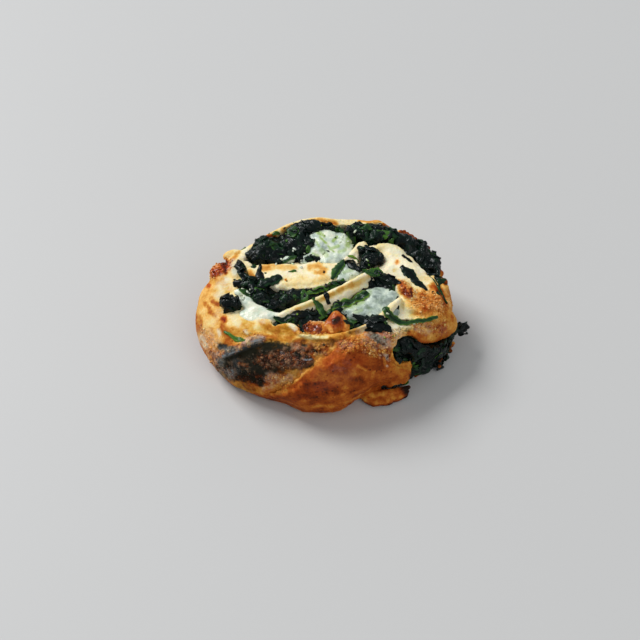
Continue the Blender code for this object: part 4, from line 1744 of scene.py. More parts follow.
@dataclass
class SpinachBed:
    """The body of the filling under its loose leaves: every band and clump as one creased mass."""

    step: float = 0.5
    low: Triple = (-50, -40, -1)
    high: Triple = (69, 46, 39)
    clumps: tuple[Lump, ...] = lump_rows(
        (-26.5, 25.2, 30.6, 7, 7.4, 4.4), (-28.4, 20.8, 31.4, 4.6, 3.6, 3), (-11.4, 30.6, 30.8, 7.2, 8, 4.6),
        (-13.6, 34.6, 31.6, 4.6, 4.2, 3.4), (-16.2, 25.2, 31.6, 3.2, 3.6, 3),
        (-12.3, 19.6, 31.4, 1.9, 1.6, 1.9), (-6, 39.6, 31.6, 9, 3.2, 3.2, -4),
        (2.4, 39.4, 31.2, 4.2, 2.4, 2.8, -10), (14.4, 36.6, 31.4, 4.4, 4.2, 4, 6),
        (19.6, 35, 31.8, 4.4, 4.6, 3.8, 6), (25.4, 35.2, 31.7, 6.4, 5.2, 3.8, -8),
        (31.6, 33.4, 31.4, 4, 3.4, 4, -20), (36.6, 32, 30.6, 4.2, 4.4, 4.4, -30),
        (41.4, 29.4, 29.6, 4.4, 5, 4.6, 10), (46.8, 24.2, 28.6, 4.2, 5.4, 4.4, 20),
        (51, 18, 27, 3.2, 4.6, 4, 28), (52.8, 12.6, 25.6, 2.2, 4, 3.4, 12),
        (-34.6, 5, 31.6, 6.2, 2.4, 2.4, -4), (-29.4, 0.6, 31.4, 3.8, 3.6, 2.8, -20),
        (-27, -4.4, 31.2, 5, 3.4, 3, -20), (-20.6, -7.6, 31.2, 5, 3.4, 3, -10),
        (-14.6, -5.8, 31.2, 5.8, 3, 3, 22), (-4, -2.6, 31.8, 6, 1.9, 2.2, 27),
        (4.6, 2.4, 31.8, 4.6, 1.8, 2, 30), (-11.6, -0.6, 31.8, 6, 2.4, 2.3, 12),
        (-37.8, 15.2, 30.9, 1.2, 3.6, 1.7, 12), (-36.4, 9.4, 31, 1.5, 3.6, 1.7, 6),
        (-36.4, 5.2, 31.4, 3.6, 2.2, 2.2, -4), (-25.6, 4.2, 32.4, 3.8, 2.2, 2, 34),
        (-4.6, 19.6, 31.6, 2.4, 1.8, 2), (-42.4, -4.8, 31, 3.4, 3.2, 3.6), (-39, -7.2, 31.2, 3.2, 2.8, 3.2),
        (-41.4, -8.4, 30.4, 2.6, 2.2, 2.6), (22.4, 20.6, 31.4, 5.3, 4.6, 3.7, 15),
        (19, 23.4, 31.6, 2.8, 2.4, 2.8, 30), (26.2, 20, 31.6, 2, 3.2, 2.6),
        (19, 17, 31.4, 2.6, 2.4, 2.4, -20), (14.2, 14, 31.6, 4, 1.7, 2, -42),
        (23.6, 9.6, 31.2, 4.6, 2.2, 2.2, -12), (29.6, 6, 31, 4.6, 2.2, 2.2, -24),
        (-11, -15.8, 30, 4.4, 3, 3, 14), (-6.4, -13.8, 30.2, 3.4, 3, 3, 14),
        (-1.6, -12.6, 30, 3.2, 3.4, 2.4), (23, -18, 30.8, 6, 2.6, 2.2, -22),
    )
    side_clumps: tuple[Lump, ...] = lump_rows(
        (35, -22.6, 21.8, 5.4, 4, 5.6, 20), (35.6, -21.4, 12, 4, 3, 7, 20),
        (41, -17.6, 13.6, 5.4, 3.8, 7.4, 30), (48.4, -12.3, 10.2, 4.4, 4.4, 5.2, 40),
        (54.8, -8.4, 8.2, 3.4, 4.4, 4.8, 20), (46.4, -14.2, 5.8, 4.2, 3, 4, 40),
        (40.8, -19.2, 4.4, 4.2, 2.8, 3.8, 30), (30, -32.6, 7, 8, 2.2, 1.6, 8),
    )
    tuft: Bead = Bead((
        (55.5, -7, 11, 2.4), (59.6, -5.6, 12, 2.1), (62.4, -4.4, 12.4, 1.6), (64.6, -3.2, 12, 1.5),
        (65.4, -4.2, 10.6, 1.2), (64.2, -5.2, 10, 1)))
    cheese_seats: tuple[Lump, ...] = lump_rows(
        (4.5, 28, 33.6, 9, 9.6, 5, 12), (20, -6, 33, 13, 9.4, 6.6, 20), (8, 18, 33, 6, 4, 3.6),
    )
    under_level: float = 1.2
    top_level: float = 30.6

    def sculpt(self) -> Piece:
        """Make the mass: bands between the turns, clumps on them, and the seam that shows underneath.

        Returns:
            The undressed piece.
        """
        clay = Clay(self.low, self.high, self.step)
        clay.add(Band(SPIRAL_FILLING, depth=11, grow=0.1), 0)
        clay.add(Band(SPIRAL_FILLING[SIDE_FROM:], depth=24, seed=8, grow=-0.6), 1)
        clay.add(Band(FRONT_FILLING, depth=8, grow=0.1, seed=6), 0.5)
        clay.level = np.maximum(clay.level, clay.z - self.top_level).astype(np.float32)
        for seat in self.cheese_seats:
            clay.carve(seat, 1.4)
        for stations in (SPIRAL_FILLING, FRONT_FILLING):
            under = tuple((px, py, half, UNDER_DEPTH + 1.5) for px, py, half, _ in stations)
            clay.add(Band(under, depth=UNDER_DEPTH + 1.5 - self.under_level, ragged=0.3), 0.3)
        for clump in (*self.clumps, *self.side_clumps):
            clay.add(clump, 0.8)
        clay.add(self.tuft, 0.8)
        clay.warp(0.7, 7, 31).warp(0.35, 3.5, 32)
        return clay.cut_below(self.under_level).mesh("spinach_bed")

    def build(self, pantry: Pantry) -> tuple[Piece, BVHTree]:
        """Make, crease and dress the mass.

        Args:
            pantry: The finishes.

        Returns:
            The mass, and its surface before it was creased, for leaves to lie on.
        """
        obj = self.sculpt()
        points, normals = plan_points(obj), point_normals(obj)
        quads = [tuple(face.vertices) for face in obj.data.polygons]
        smooth = BVHTree.FromPolygons(points.tolist(), quads)
        bends = [fractal(points, 6, 2, shift) for shift in (1, 11, 21)]
        bent = points + 1.6 * np.stack(bends, axis=1)
        folds = 1.2 * (ridges(bent, 5, 2) - 0.55) + 0.5 * (ridges(bent, 2.2, 2, 4) - 0.55)
        free = smooth_step(1.4, 5, points[:, 2])
        moved = points + normals * (folds * free)[:, None]
        moved[:, 2] = np.maximum(moved[:, 2], 0.3)
        put_points(obj, moved)
        slim(obj)
        points = plan_points(obj)
        put_values(obj, "green", 0.14 + 0.3 * fractal(points, 5, 4, 4))
        nodes = ("spinach_spiral", "spinach_front", "spinach_left", "spinach_right", "spinach_tuft")
        dress(obj, pantry.leaf, nodes)
        return obj, smooth


@dataclass(frozen=True)
class CheesePool:
    """One pool of melted cheese, made of soft lumps."""

    node: str
    lumps: tuple[Shape, ...]
    leafy: Strokes = ()
    pale: float = 0.6
    curd: float = 0.4

    def build(self, pantry: Pantry) -> Piece:
        """Make and dress the pool.

        Args:
            pantry: The finishes.

        Returns:
            The dressed piece.
        """
        lows, highs = zip(*(lump.box() for lump in self.lumps))
        clay = Clay(np.min(lows, 0) - 2, np.max(highs, 0) + 2, 0.4)
        for lump in self.lumps:
            clay.add(lump, 1.4)
        obj = clay.mesh(self.node + "_pool")
        points, normals = plan_points(obj), point_normals(obj)
        curds = self.curd * (fractal(points, 3.6, 3, 2) + cells(points, 2.4, 5) - 0.5)
        put_points(obj, points + normals * curds[:, None])
        points = plan_points(obj)
        canvas = Canvas(points, point_normals(obj))
        put_values(obj, "green", canvas.lay(self.leafy, 0.25 * fractal(points, 4, 3, 14)))
        put_values(obj, "pale", self.pale + 0.38 * fractal(points, 4.6, 3, 24))
        dress(obj, pantry.cheese, (self.node,))
        return obj


CHEESE_POOLS = (
    CheesePool("cheese_back", (
        Lump((0.6, 32.8, 31.2), (7.6, 5.8, 2.8)), Lump((7.4, 26.6, 31), (6.6, 5.6, 2.6), 20),
        Lump((-1.6, 26, 31.2), (5.4, 5.8, 2.8)), Lump((9.8, 33, 30.8), (4.4, 3.8, 2.6)),
        Lump((4, 19.8, 31), (7, 3.6, 2.3), 8), Lump((11.6, 22, 30.8), (3.6, 4, 2.3)),
        Lump((-15.4, 19.2, 32), (3.2, 1.8, 1.9)), Lump((-6.6, 20.4, 31), (4.8, 2.6, 2), 14),
    ), (
        (0.9, 1.4, 320, 237, 326, 243), (0.9, 1.6, 333, 241, 337, 237), (0.8, 1.3, 328, 246, 334, 252),
        (0.7, 2, 345, 232, 348, 228), (0.6, 1.6, 313, 254, 318, 256), (0.8, 3, 348, 245, 349, 238),
        (0.8, 2.4, 318, 232, 324, 236), (0.7, 2, 330, 249, 338, 246), (0.5, 3, 322, 250, 326, 255),
        (0.6, 2, 339, 252, 345, 250), (0.6, 1.6, 316, 241, 319, 246),
    ), 0.7),
    CheesePool("cheese_core", (
        Lump((10.6, 9.2, 31.2), (5.4, 3.2, 2.3), 25), Lump((15.4, 11.6, 31.2), (3.4, 2.6, 2.1)),
        Lump((9.6, 13, 31.2), (3.2, 3.8, 2.2)),
    ), ((0.45, 2, 344, 272, 352, 270),), 0.58),
    CheesePool("cheese_right", (
        Lump((23.6, -3.4, 29.6), (8.6, 7.4, 2.9), 20), Lump((29.6, -3.6, 30), (5.4, 6, 2.5)),
        Lump((17, -9.8, 29.6), (7.4, 5.4, 2.8), 20), Lump((13.4, -14, 30.8), (3.1, 2.9, 2.7)),
        Lump((23.4, -10.8, 29.8), (6, 4.4, 2.6), -10), Lump((9, -9, 29), (6, 3.4, 2.6), 30),
        Lump((30.4, -9.6, 29.6), (4, 4, 2.2)),
    ), (
        (0.4, 3, 362, 297, 370, 293), (0.6, 4, 342, 308, 350, 305, 361, 301), (0.4, 2, 355, 312, 362, 310),
    ), 0.46, 0.34),
    CheesePool("cheese_left", (
        Bead((
            (-38, -4.2, 31.6, 1.3), (-35, -5.6, 32, 2.1), (-32.4, -8.2, 31.8, 2.3), (-28, -11, 31.2, 2.9),
            (-22.4, -13.8, 31.4, 2.3), (-17.4, -14.2, 32, 1.4),
        ), 0.8),
        Lump((-29.6, -13.4, 30.6), (7.4, 4.2, 1.7), -14), Lump((-37, -0.2, 31.2), (3.2, 2, 1.4), -10),
        Lump((-34.6, -6, 32.2), (3.4, 2, 1.6)),
    ), ((0.7, 3, 243, 290, 250, 292),), 0.94, 0.25),
)


class HeightMap:
    """How high the pastry's top is over the plan, from the points of its pieces.

    low is the map's first corner and spans are its sides, in millimetres.
    """

    low: ClassVar[Array] = np.array((-70, -60))
    spans: ClassVar[tuple[float, float]] = (140, 120)

    def __init__(self, pieces: Iterable[Piece], cell: float = 0.7) -> None:
        """Take the highest point in every cell.

        Args:
            pieces: The pieces that form the top.
            cell: The size of a cell in millimetres.
        """
        self.cell = cell
        self.levels = np.zeros([int(span / cell) for span in self.spans])
        for piece in pieces:
            points = plan_points(piece)
            place = ((points[:, :2] - self.low) / cell).astype(int)
            np.maximum.at(self.levels, (place[:, 0], place[:, 1]), points[:, 2])
        for _ in range(4):
            near = [np.roll(self.levels, (i, j), (0, 1)) for i in (-1, 0, 1) for j in (-1, 0, 1)]
            self.levels = np.where(self.levels == 0, np.max(near, axis=0), self.levels)

    def at(self, x: Array, y: Array) -> Array:
        """The top's height at some places.

        Args:
            x: First plan coordinates.
            y: Second ones.

        Returns:
            The heights there.
        """
        u, v = (x - self.low[0]) / self.cell - 0.5, (y - self.low[1]) / self.cell - 0.5
        i, j = np.floor(u).astype(int), np.floor(v).astype(int)
        s, t = u - i, v - j
        near = self.levels[i, j] * (1 - s) * (1 - t) + self.levels[i + 1, j] * s * (1 - t)
        return near + self.levels[i, j + 1] * (1 - s) * t + self.levels[i + 1, j + 1] * s * t


class LeafSheets:
    """Collects thin crumpled leaves, which become one mesh."""

    def __init__(self, seed: int, across: int = 7, thickness: float = 0.26, fray: float = 0.12) -> None:
        """Start with no leaves.

        Args:
            seed: The seed of their crumples.
            across: How many points each has from side to side.
            thickness: How thick they are, in millimetres.
            fray: How uneven their outlines are, as a share of their width.
        """
        self.draw = np.random.default_rng(seed)
        self.across, self.thickness, self.fray = across, thickness, fray
        self.points: list[Array] = []
        self.quads: list[Array] = []
        self.green: list[Array] = []
        self.count = 0

    def sheet(self, centres: Array, normals: Array, halves: Array, curl: float, crumple: float) -> Array:
        """The top of one leaf.

        Args:
            centres: The points of its middle line.
            normals: The way up at each.
            halves: Half its width at each.
            curl: How far its sides bend down, in millimetres.
            crumple: How far its waves reach.

        Returns:
            A grid of points, along by across.
        """
        ahead = np.gradient(centres, axis=0)
        ahead /= np.maximum(np.linalg.norm(ahead, axis=1, keepdims=True), 1e-6)
        side = np.cross(normals, ahead)
        side /= np.maximum(np.linalg.norm(side, axis=1, keepdims=True), 1e-6)
        out = np.cross(ahead, side)
        v = np.linspace(-1, 1, self.across)
        run = np.concatenate([[0], np.cumsum(np.linalg.norm(np.diff(centres, axis=0), axis=1))])
        frayed = np.ones((len(run), self.across))
        for amount, rate in ((self.fray, 0.8), (0.6 * self.fray, 2.1)):
            lean = np.where(v > 0, *self.draw.uniform(0, 6.3, 2))
            frayed += amount * np.sin(run[:, None] * rate * self.draw.uniform(0.8, 1.25) + lean)
        reach = v * halves[:, None] * frayed
        waves = np.zeros_like(reach)
        for _ in range(5):
            along, over = self.draw.uniform(0.4, 1.7), self.draw.uniform(-1.5, 1.5)
            waves += np.sin(run[:, None] * along + reach * over + self.draw.uniform(0, 6.3)) / 2.4
        rise = crumple * waves - curl * v ** 2
        return centres[:, None] + side[:, None] * reach[..., None] + out[:, None] * rise[..., None]

    def add(self, grid: Array, green: float, bright_edge: float = 0) -> None:
        """Give a sheet its thickness and keep it.

        Args:
            grid: Points, along by across.
            green: How bright its green is.
            bright_edge: How much brighter its sides are.
        """
        rows, columns = grid.shape[:2]
        out = np.cross(np.gradient(grid, axis=0), np.gradient(grid, axis=1))
        out /= np.maximum(np.linalg.norm(out, axis=2, keepdims=True), 1e-6)
        points = np.concatenate([grid.reshape(-1, 3), (grid - out * self.thickness).reshape(-1, 3)])
        points[:, 2] = np.maximum(points[:, 2], 0.2)
        number = np.arange(rows * columns).reshape(rows, columns)
        around = [number[:-1, :-1], number[1:, :-1], number[1:, 1:], number[:-1, 1:]]
        top = np.stack(around, -1).reshape(-1, 4)
        under = top[:, ::-1] + rows * columns
        edge = np.concatenate([number[0, :-1], number[:-1, -1], number[-1, :0:-1], number[:0:-1, 0]])
        after = np.roll(edge, -1)
        rim = np.stack([edge, after, after + rows * columns, edge + rows * columns], -1)
        streaks = 0.35 * bright_edge * self.draw.uniform(-1, 1, columns)
        shade = np.abs(np.linspace(-1, 1, columns)) ** 2.5 * bright_edge + streaks + np.zeros((rows, 1))
        self.points.append(points)
        self.quads.append(np.concatenate([top, under, rim]) + self.count)
        self.green.append(np.tile(green + shade.ravel(), 2))
        self.count += len(points)

    def finish(self, name: str, pantry: Pantry) -> Piece:
        """Make one dressed mesh of every leaf.

        Args:
            name: The mesh's name.
            pantry: The finishes.

        Returns:
            The dressed piece.
        """
        obj = make_mesh(name, np.concatenate(self.points), np.concatenate(self.quads))
        put_values(obj, "green", np.concatenate(self.green))
        dress(obj, pantry.leaf)
        return obj


@dataclass
class LooseLeaves:
    """Crumpled ribbons of cooked leaf, scattered over the filling and hugging it."""

    kinds: tuple[tuple[int, float, float, float], ...] = ((260, 3.6, 7, 0.4), (170, 6, 10.5, 0.6))
    bare: tuple[Triple, ...] = (
        (-41, 13, 3.4), (-2.6, -20.4, 6.2), (26.6, 41, 3), (-16, 40.6, 4),
    )
    seed: int = 20
    along: int = 10

    def walk(self, draw: np.random.Generator, surface: BVHTree, start: Vector, normal: Vector, length: float,
             lift: float) -> Pair:
        """A wandering line over the surface.

        Args:
            draw: The source of chance.
            surface: What it lies on.
            start: Where it starts.
            normal: The way out of the surface there.
            length: How long it is.
            lift: How far it stands off.

        Returns:
            Its points, and the way out of the surface at each.
        """
        turn = draw.uniform(0, math.tau)
        aside = normal.orthogonal().normalized()
        ahead = aside * math.cos(turn) + normal.cross(aside) * math.sin(turn)
        place, centres, normals = start.copy(), [], []
        for _ in range(self.along):
            found = surface.find_nearest(place)
            normal = normal.lerp(found[1], 0.5).normalized()
            place = found[0] + normal * lift
            centres.append(tuple(place))
            normals.append(tuple(normal))
            ahead = (ahead + normal.cross(ahead) * draw.normal(0, 0.28)).normalized()
            ahead = (ahead - normal * ahead.dot(normal)).normalized()
            place = place + ahead * (length / (self.along - 1))
        return np.array(centres), np.array(normals)

    def build(self, pantry: Pantry, bed: Piece, surface: BVHTree) -> Piece:
        """Scatter the leaves over the bed's open faces and dress them.

        Args:
            pantry: The finishes.
            bed: The mass of filling.
            surface: Its surface before it was creased.

        Returns:
            The dressed piece.
        """
        sheets = LeafSheets(self.seed, across=6)
        draw = sheets.draw
        points, normals = plan_points(bed), point_normals(bed)
        high = (points[:, 2] > 29) & (normals[:, 2] > 0.1)
        side = (points[:, 2] > 2.5) & (points[:, 0] > 30) & (points[:, 1] < -4)
        outer = (points[:, 2] > 24) & (points[:, 0] > 32) & (points[:, 1] > 4)
        taper = 0.15 + 0.85 * np.sin(math.pi * (0.04 + 0.92 * np.linspace(0, 1, self.along)))
        bare = np.zeros(len(points), bool)
        for x, y, reach in self.bare:
            bare |= np.hypot(points[:, 0] - x, points[:, 1] - y) < reach
        open_points = np.flatnonzero((high | side | outer) & ~bare)
        for count, shortest, longest, lift in self.kinds:
            for pick in draw.choice(open_points, count):
                length = draw.uniform(shortest, longest)
                start, way = Vector(points[pick]), Vector(normals[pick]).normalized()
                centres, ways = self.walk(draw, surface, start, way, length, draw.uniform(0.1, 2 * lift))
                halves = length * draw.uniform(0.18, 0.32) * taper
                curl, crumple = draw.uniform(-0.2, 0.9), draw.uniform(0.5, 1) * lift
                grid = sheets.sheet(centres, ways, halves, curl, crumple)
                green = draw.choice((draw.uniform(0, 0.28), draw.uniform(0.35, 0.62)), p=(0.8, 0.2))
                sheets.add(grid, green, 0.08)
        return sheets.finish("loose_leaves", pantry)


@dataclass(frozen=True)
class Leaf:
    """A leaf that the photograph shows by itself: points of x, y and half width, laid on the top."""

    path: tuple[Triple, ...]
    green: float = 0.1
    bright_edge: float = 0.3
    lift: float = 0.5
    curl: float = 0.5
    crumple: float = 0.35

    def lay(self, sheets: LeafSheets, top: HeightMap) -> None:
        """Drape the leaf over the pastry's top and add it to the sheets.

        Args:
            sheets: Where the leaf is collected.
            top: The pastry's heights.
        """
        line = smooth_path(self.path, 8)
        level = top.at(line[:, 0], line[:, 1])
        padded = np.pad(level, 4, "edge")
        level = np.array([padded[k:k + 9].mean() for k in range(len(level))])
        centres = np.column_stack([line[:, 0], line[:, 1], level + self.lift])
        up = np.tile((0, 0, 1), (len(centres), 1))
        grid = sheets.sheet(centres, up, line[:, 2], self.curl, self.crumple)
        under = top.at(grid[..., 0], grid[..., 1])
        grid[..., 2] = 0.5 * (grid[..., 2] + np.maximum(grid[..., 2], under + 0.3 + 0.4 * self.lift))
        sheets.add(grid, self.green, self.bright_edge)


@dataclass
class LaidLeaves:
    """The leaves, strands and stems that can be told apart on the top."""

    seed: int = 7
    leaves: tuple[Leaf, ...] = (
        Leaf(((4, 6.4, 0.8), (6.4, 11.6, 2), (8.4, 15.4, 1.7), (9.6, 18.4, 0.5)), 0.42, 0.35, 0.9),
        Leaf(((-9.6, -3, 0.8), (-4.4, -1, 1.6), (1.6, 1.2, 1.9), (6, 3.6, 1.7),
              (9.4, 6.2, 0.6)), 0.56, 0.3, 0.8),
        Leaf(((3.6, -9.6, 1.2), (8.4, -7.6, 1.9), (13.6, -5, 2.2), (17.6, -2.8, 2.1),
              (20, -1, 1.7)), 0.4, 0.5, 1.1, 0.3, 0.6),
        Leaf(((-29, 1.4, 1.5), (-25.4, 3.8, 2.5), (-21.8, 5.8, 2.5), (-18.6, 7.6, 1.3)), 0.2, 0.4, 0.6),
        Leaf(((-28.4, 15, 0.5), (-28.8, 11, 1.3), (-28.2, 6.6, 1.8), (-27.6, 2.6, 1.6)), 0.06, 0.15, 0.5),
        Leaf(((-38.8, 19.4, 0.7), (-37.8, 14.6, 1.5), (-36.6, 9.6, 1.6), (-35, 5, 1)), 0.1, 0.25, 0.8),
        Leaf(((-19.4, -8.4, 1.2), (-14.2, -5.2, 2.1), (-9.6, -1.8, 1.7), (-7.2, 0.6, 0.5)), 0.06, 0.2, 0.8),
        Leaf(((-22.6, -9.8, 0.9), (-21.8, -5.6, 1.6), (-20.6, -1.6, 0.9)), 0.02, 0.1, 0.9),
        Leaf(((-31.4, -4.6, 0.6), (-27.4, -6, 1.2), (-23.6, -6.8, 0.6)), 0.4, 0.2, 0.6),
        Leaf(((-37.6, 0.6, 0.6), (-34.4, -0.6, 1.4), (-31.6, -2.2, 0.8)), 0.5, 0.2, 0.4),
        Leaf(((-25.6, 28, 1), (-21.4, 25.2, 2.2), (-17.4, 22.2, 1.2)), 0.4, 0.2, 0.3),
        Leaf(((-32, 24, 1), (-27, 25.6, 1.6), (-22, 27.4, 1)), 0.34, 0.2, 0.5),
        Leaf(((-23.6, 35, 0.6), (-21.4, 36.2, 1.1), (-19.8, 36.4, 0.5)), 0.5, 0.2, 0.4),
        Leaf(((-34, 15, 0.7), (-32, 14.2, 1.5), (-30.4, 13.6, 0.7)), 0.36, 0.2, 0.3),
        Leaf(((7.4, 40, 0.9), (11, 36.6, 2), (13.6, 32.6, 1.6), (15, 29.4, 0.8)), 0.4, 0.35, 0.6),
        Leaf(((12.6, 39.6, 0.9), (15.4, 36, 1.7), (17.6, 31.8, 1.1)), 0.3, 0.3, 0.6),
        Leaf(((16.8, 42, 1), (18.8, 38, 1.8), (20.6, 33.8, 1.2)), 0.26, 0.3, 0.8),
        Leaf(((30, 36.6, 0.9), (32.4, 33.4, 1.9), (34.6, 30.4, 1)), 0.3, 0.25, 0.6),
        Leaf(((10.2, 17.2, 0.7), (13.6, 13.8, 1.5), (17.4, 10.6, 1)), 0.08, 0.2, 0.5),
        Leaf(((11.4, 20.6, 0.4), (14, 20.2, 0.8), (17, 19, 0.4)), 0.78, 0.1, 0.3),
        Leaf(((18, 11.4, 0.9), (21.6, 11.2, 1.9), (25, 10.6, 1.8), (27.8, 9.4, 0.8)), 0.52, 0.3, 0.6),
        Leaf(((19, 8.6, 0.7), (23, 8.6, 1.5), (26.4, 8, 0.7)), 0.44, 0.3, 0.4),
        Leaf(((24.6, 8.4, 0.9), (28.6, 6.8, 2), (32.6, 5.2, 1.6), (35, 4.2, 0.6)), 0.06, 0.15, 0.5),
        Leaf(((35.6, 14.4, 1.1), (38.4, 11.4, 2.2), (41.2, 8, 2.2), (44, 5, 1.5),
              (47, 2, 0.6)), 0.14, 0.3, 0.35),
        Leaf(((36.6, 21.8, 0.6), (38.6, 19.8, 1.1), (41, 18.2, 0.6)), 0.06, 0.2, 0.3),
        Leaf(((48.6, 11.4, 0.3), (51.4, 7.6, 0.6), (54, 3.4, 0.6), (56, -0.6, 0.3)), 0.4, 0.3, 0.25),
        Leaf(((49.4, 5, 0.5), (51, 2.8, 0.9), (52.4, 0.4, 0.5)), 0.3, 0.3, 0.25),
        Leaf(((27, -10.8, 1.2), (28.8, -13.4, 1.9), (32.6, -15, 1.7), (37.6, -15.4, 1.3), (43.6, -14.1, 1.1),
              (47.8, -12.8, 1.1), (51, -11.6, 0.7)), 0.44, 0.5, 1.1, 0.6, 0.12),
        Leaf(((13.4, -15.2, 0.9), (18, -16.4, 2.1), (23, -17.8, 2.7), (27.2, -20, 2.3),
              (29.6, -22.6, 0.9)), 0.03, 0.1, 0.9),
        Leaf(((17, -17.6, 0.9), (21.4, -20.2, 1.7), (26, -22.6, 1)), 0.05, 0.1, 0.6),
        Leaf(((21.4, -13.6, 0.6), (23.6, -15.6, 1.4), (26, -17.6, 0.8)), 0.3, 0.2, 0.6),
        Leaf(((9.2, -19.6, 0.7), (12.8, -18.8, 1.3), (17, -18.4, 0.9)), 0.22, 0.3, 0.6),
        Leaf(((-43.4, -20.2, 0.5), (-39.2, -23.8, 0.8), (-36.4, -25.4, 1.1),
              (-34, -26.6, 0.7)), 0.56, 0.2, 0.35),
        Leaf(((-4.2, -6.4, 0.8), (-1.4, -10.2, 1.6), (1.2, -14.4, 1)), 0.48, 0.3, 0.6),
        Leaf(((-1.4, -15.4, 0.6), (1.6, -12.4, 1.2), (3.8, -9.6, 0.7)), 0.56, 0.3, 0.5),
        Leaf(((0.6, -2.8, 0.6), (1.6, -5.4, 1.2), (3, -8.2, 0.8)), 0.05, 0.1, 0.8),
        Leaf(((-21.6, -15.6, 0.7), (-17.4, -16.6, 1.5), (-13, -15, 1.3)), 0.24, 0.3, 0.6),
        Leaf(((-14.4, -15.4, 0.9), (-9.8, -14.4, 2), (-5.4, -12.8, 1)), 0.03, 0.1, 0.8),
        Leaf(((-15.6, 10.6, 0.4), (-13.6, 11.2, 0.8), (-12, 11, 0.4)), 0.66, 0.2, 0.1),
        Leaf(((-18.4, 17, 0.5), (-15, 18.4, 1.2), (-12, 19.4, 0.6)), 0.4, 0.3, 0.5),
        Leaf(((-8.4, 18.6, 0.7), (-5.2, 19.4, 1.5), (-2.2, 19.4, 0.8)), 0.22, 0.3, 0.6),
        Leaf(((-39, 29.2, 0.3), (-36.4, 29.6, 0.6), (-34, 30.2, 0.3)), 0.6, 0.2, 0.2),
    )

    def build(self, pantry: Pantry, top: HeightMap) -> Piece:
        """Lay and dress the leaves.

        Args:
            pantry: The finishes.
            top: The pastry's heights.

        Returns:
            The dressed piece.
        """
        sheets = LeafSheets(self.seed, across=11, thickness=0.34, fray=0.18)
        for leaf in self.leaves:
            leaf.lay(sheets, top)
        return sheets.finish("laid_leaves", pantry)


def small_ball() -> Pair:
    """The points and the triangles of a ball of radius 1 with few faces.

    Returns:
        Its points and its triangles.
    """
    ball = bmesh.new()
    bmesh.ops.create_icosphere(ball, subdivisions=1, radius=1)
    points = np.array([tuple(v.co) for v in ball.verts])
    faces = np.array([tuple(v.index for v in f.verts) for f in ball.faces])
    ball.free()
    return points, faces


@dataclass(frozen=True)
class Crumbs:
    """Baked crumbs that stick half out of the crust where it is grainy."""

    most: int = 2800
    sizes: tuple[float, float] = (0.2, 0.62)
    seed: int = 13

    def build(self, pantry: Pantry, crust: Sequence[Piece]) -> Piece:
        """Scatter the crumbs over some pieces of crust and dress them like the crust there.

        Args:
            pantry: The finishes.
            crust: The pieces of crust.

        Returns:
            The dressed piece.
        """
        draw = np.random.default_rng(self.seed)
        ball, faces = small_ball()
        layers = {name: np.concatenate([point_values(piece, name) for piece in crust]) for name in PAINT}
        points = np.concatenate([plan_points(piece) for piece in crust])
        normals = np.concatenate([point_normals(piece) for piece in crust])
        chance = np.maximum(layers["grain"], 0.8 * layers["grit_and_glint"]) ** 2 * (points[:, 2] > 3)
        picks = draw.choice(len(points), self.most, p=chance / chance.sum())
        half = self.sizes[0] + (self.sizes[1] - self.sizes[0]) * draw.uniform(0, 1, self.most) ** 2.2
        shapes = ball * draw.uniform(0.6, 1.25, (self.most, *ball.shape)) * half[:, None, None]
        places = points[picks] + normals[picks] * (0.25 * half[:, None])
        obj = make_mesh("crumbs", (places[:, None] + shapes).reshape(-1, 3),
                        (faces + len(ball) * np.arange(self.most)[:, None, None]).reshape(-1, 3))
        layers["toast"] = layers["toast"] + np.where(layers["grain"] > 0, -0.05, 0)
        change = {"toast": 0.08 * draw.normal(size=self.most), "frost_and_glint": 0.2 * draw.uniform(-1, 1, self.most)}
        for name, values in layers.items():
            own = values[picks] + change.get(name, 0)
            put_values(obj, name, np.repeat(own * (0.9 if name == "soot_and_shade" else 1), len(ball)))
        dress(obj, pantry.crust)
        return obj


@dataclass(frozen=True)
class Bits:
    """Small rough bits scattered in patches of the top."""

    name: str
    slot: Slot
    patches: tuple[tuple[float, float, float, int], ...]
    sizes: tuple[float, float]
    green: tuple[float, float] = (0, 0.3)
    flatness: float = 0.6
    seed: int = 3
    lowest: float = 22

    def build(self, pantry: Pantry, top: HeightMap) -> Piece:
        """Scatter and dress the bits. Each patch is x, y, spread and count.

        Args:
            pantry: The finishes.
            top: The pastry's heights.

        Returns:
            The dressed piece.
        """
        draw = np.random.default_rng(self.seed)
        shape, faces = small_ball()
        points, triangles, green = [], [], []
        for x, y, spread, count in self.patches:
            for _ in range(count):
                px, py = x + draw.normal(0, spread), y + draw.normal(0, spread)
                half = draw.uniform(*self.sizes)
                turn = draw.uniform(0, math.tau)
                rough = shape * draw.uniform(0.7, 1.3, shape.shape)
                stretched = rough * (half * draw.uniform(1, 2.2), half, half * self.flatness)
                across = stretched[:, 0] * math.cos(turn) - stretched[:, 1] * math.sin(turn)
                ahead = stretched[:, 0] * math.sin(turn) + stretched[:, 1] * math.cos(turn)
                level = top.at(np.array([px]), np.array([py]))[0]
                if level < self.lowest:
                    continue
                up = stretched[:, 2] + level + 0.2 * half
                points.append(np.column_stack([across + px, ahead + py, up]))
                triangles.append(faces + len(shape) * len(triangles))
                green.append(np.full(len(shape), draw.uniform(*self.green)))
        obj = make_mesh(self.name, np.concatenate(points), np.concatenate(triangles))
        put_values(obj, "green", np.concatenate(green))
        put_values(obj, "pale", np.full(len(obj.data.vertices), 0.8))
        finish = pantry.leaf if self.slot is Slot.SPINACH else pantry.cheese
        dress(obj, finish)
        return obj


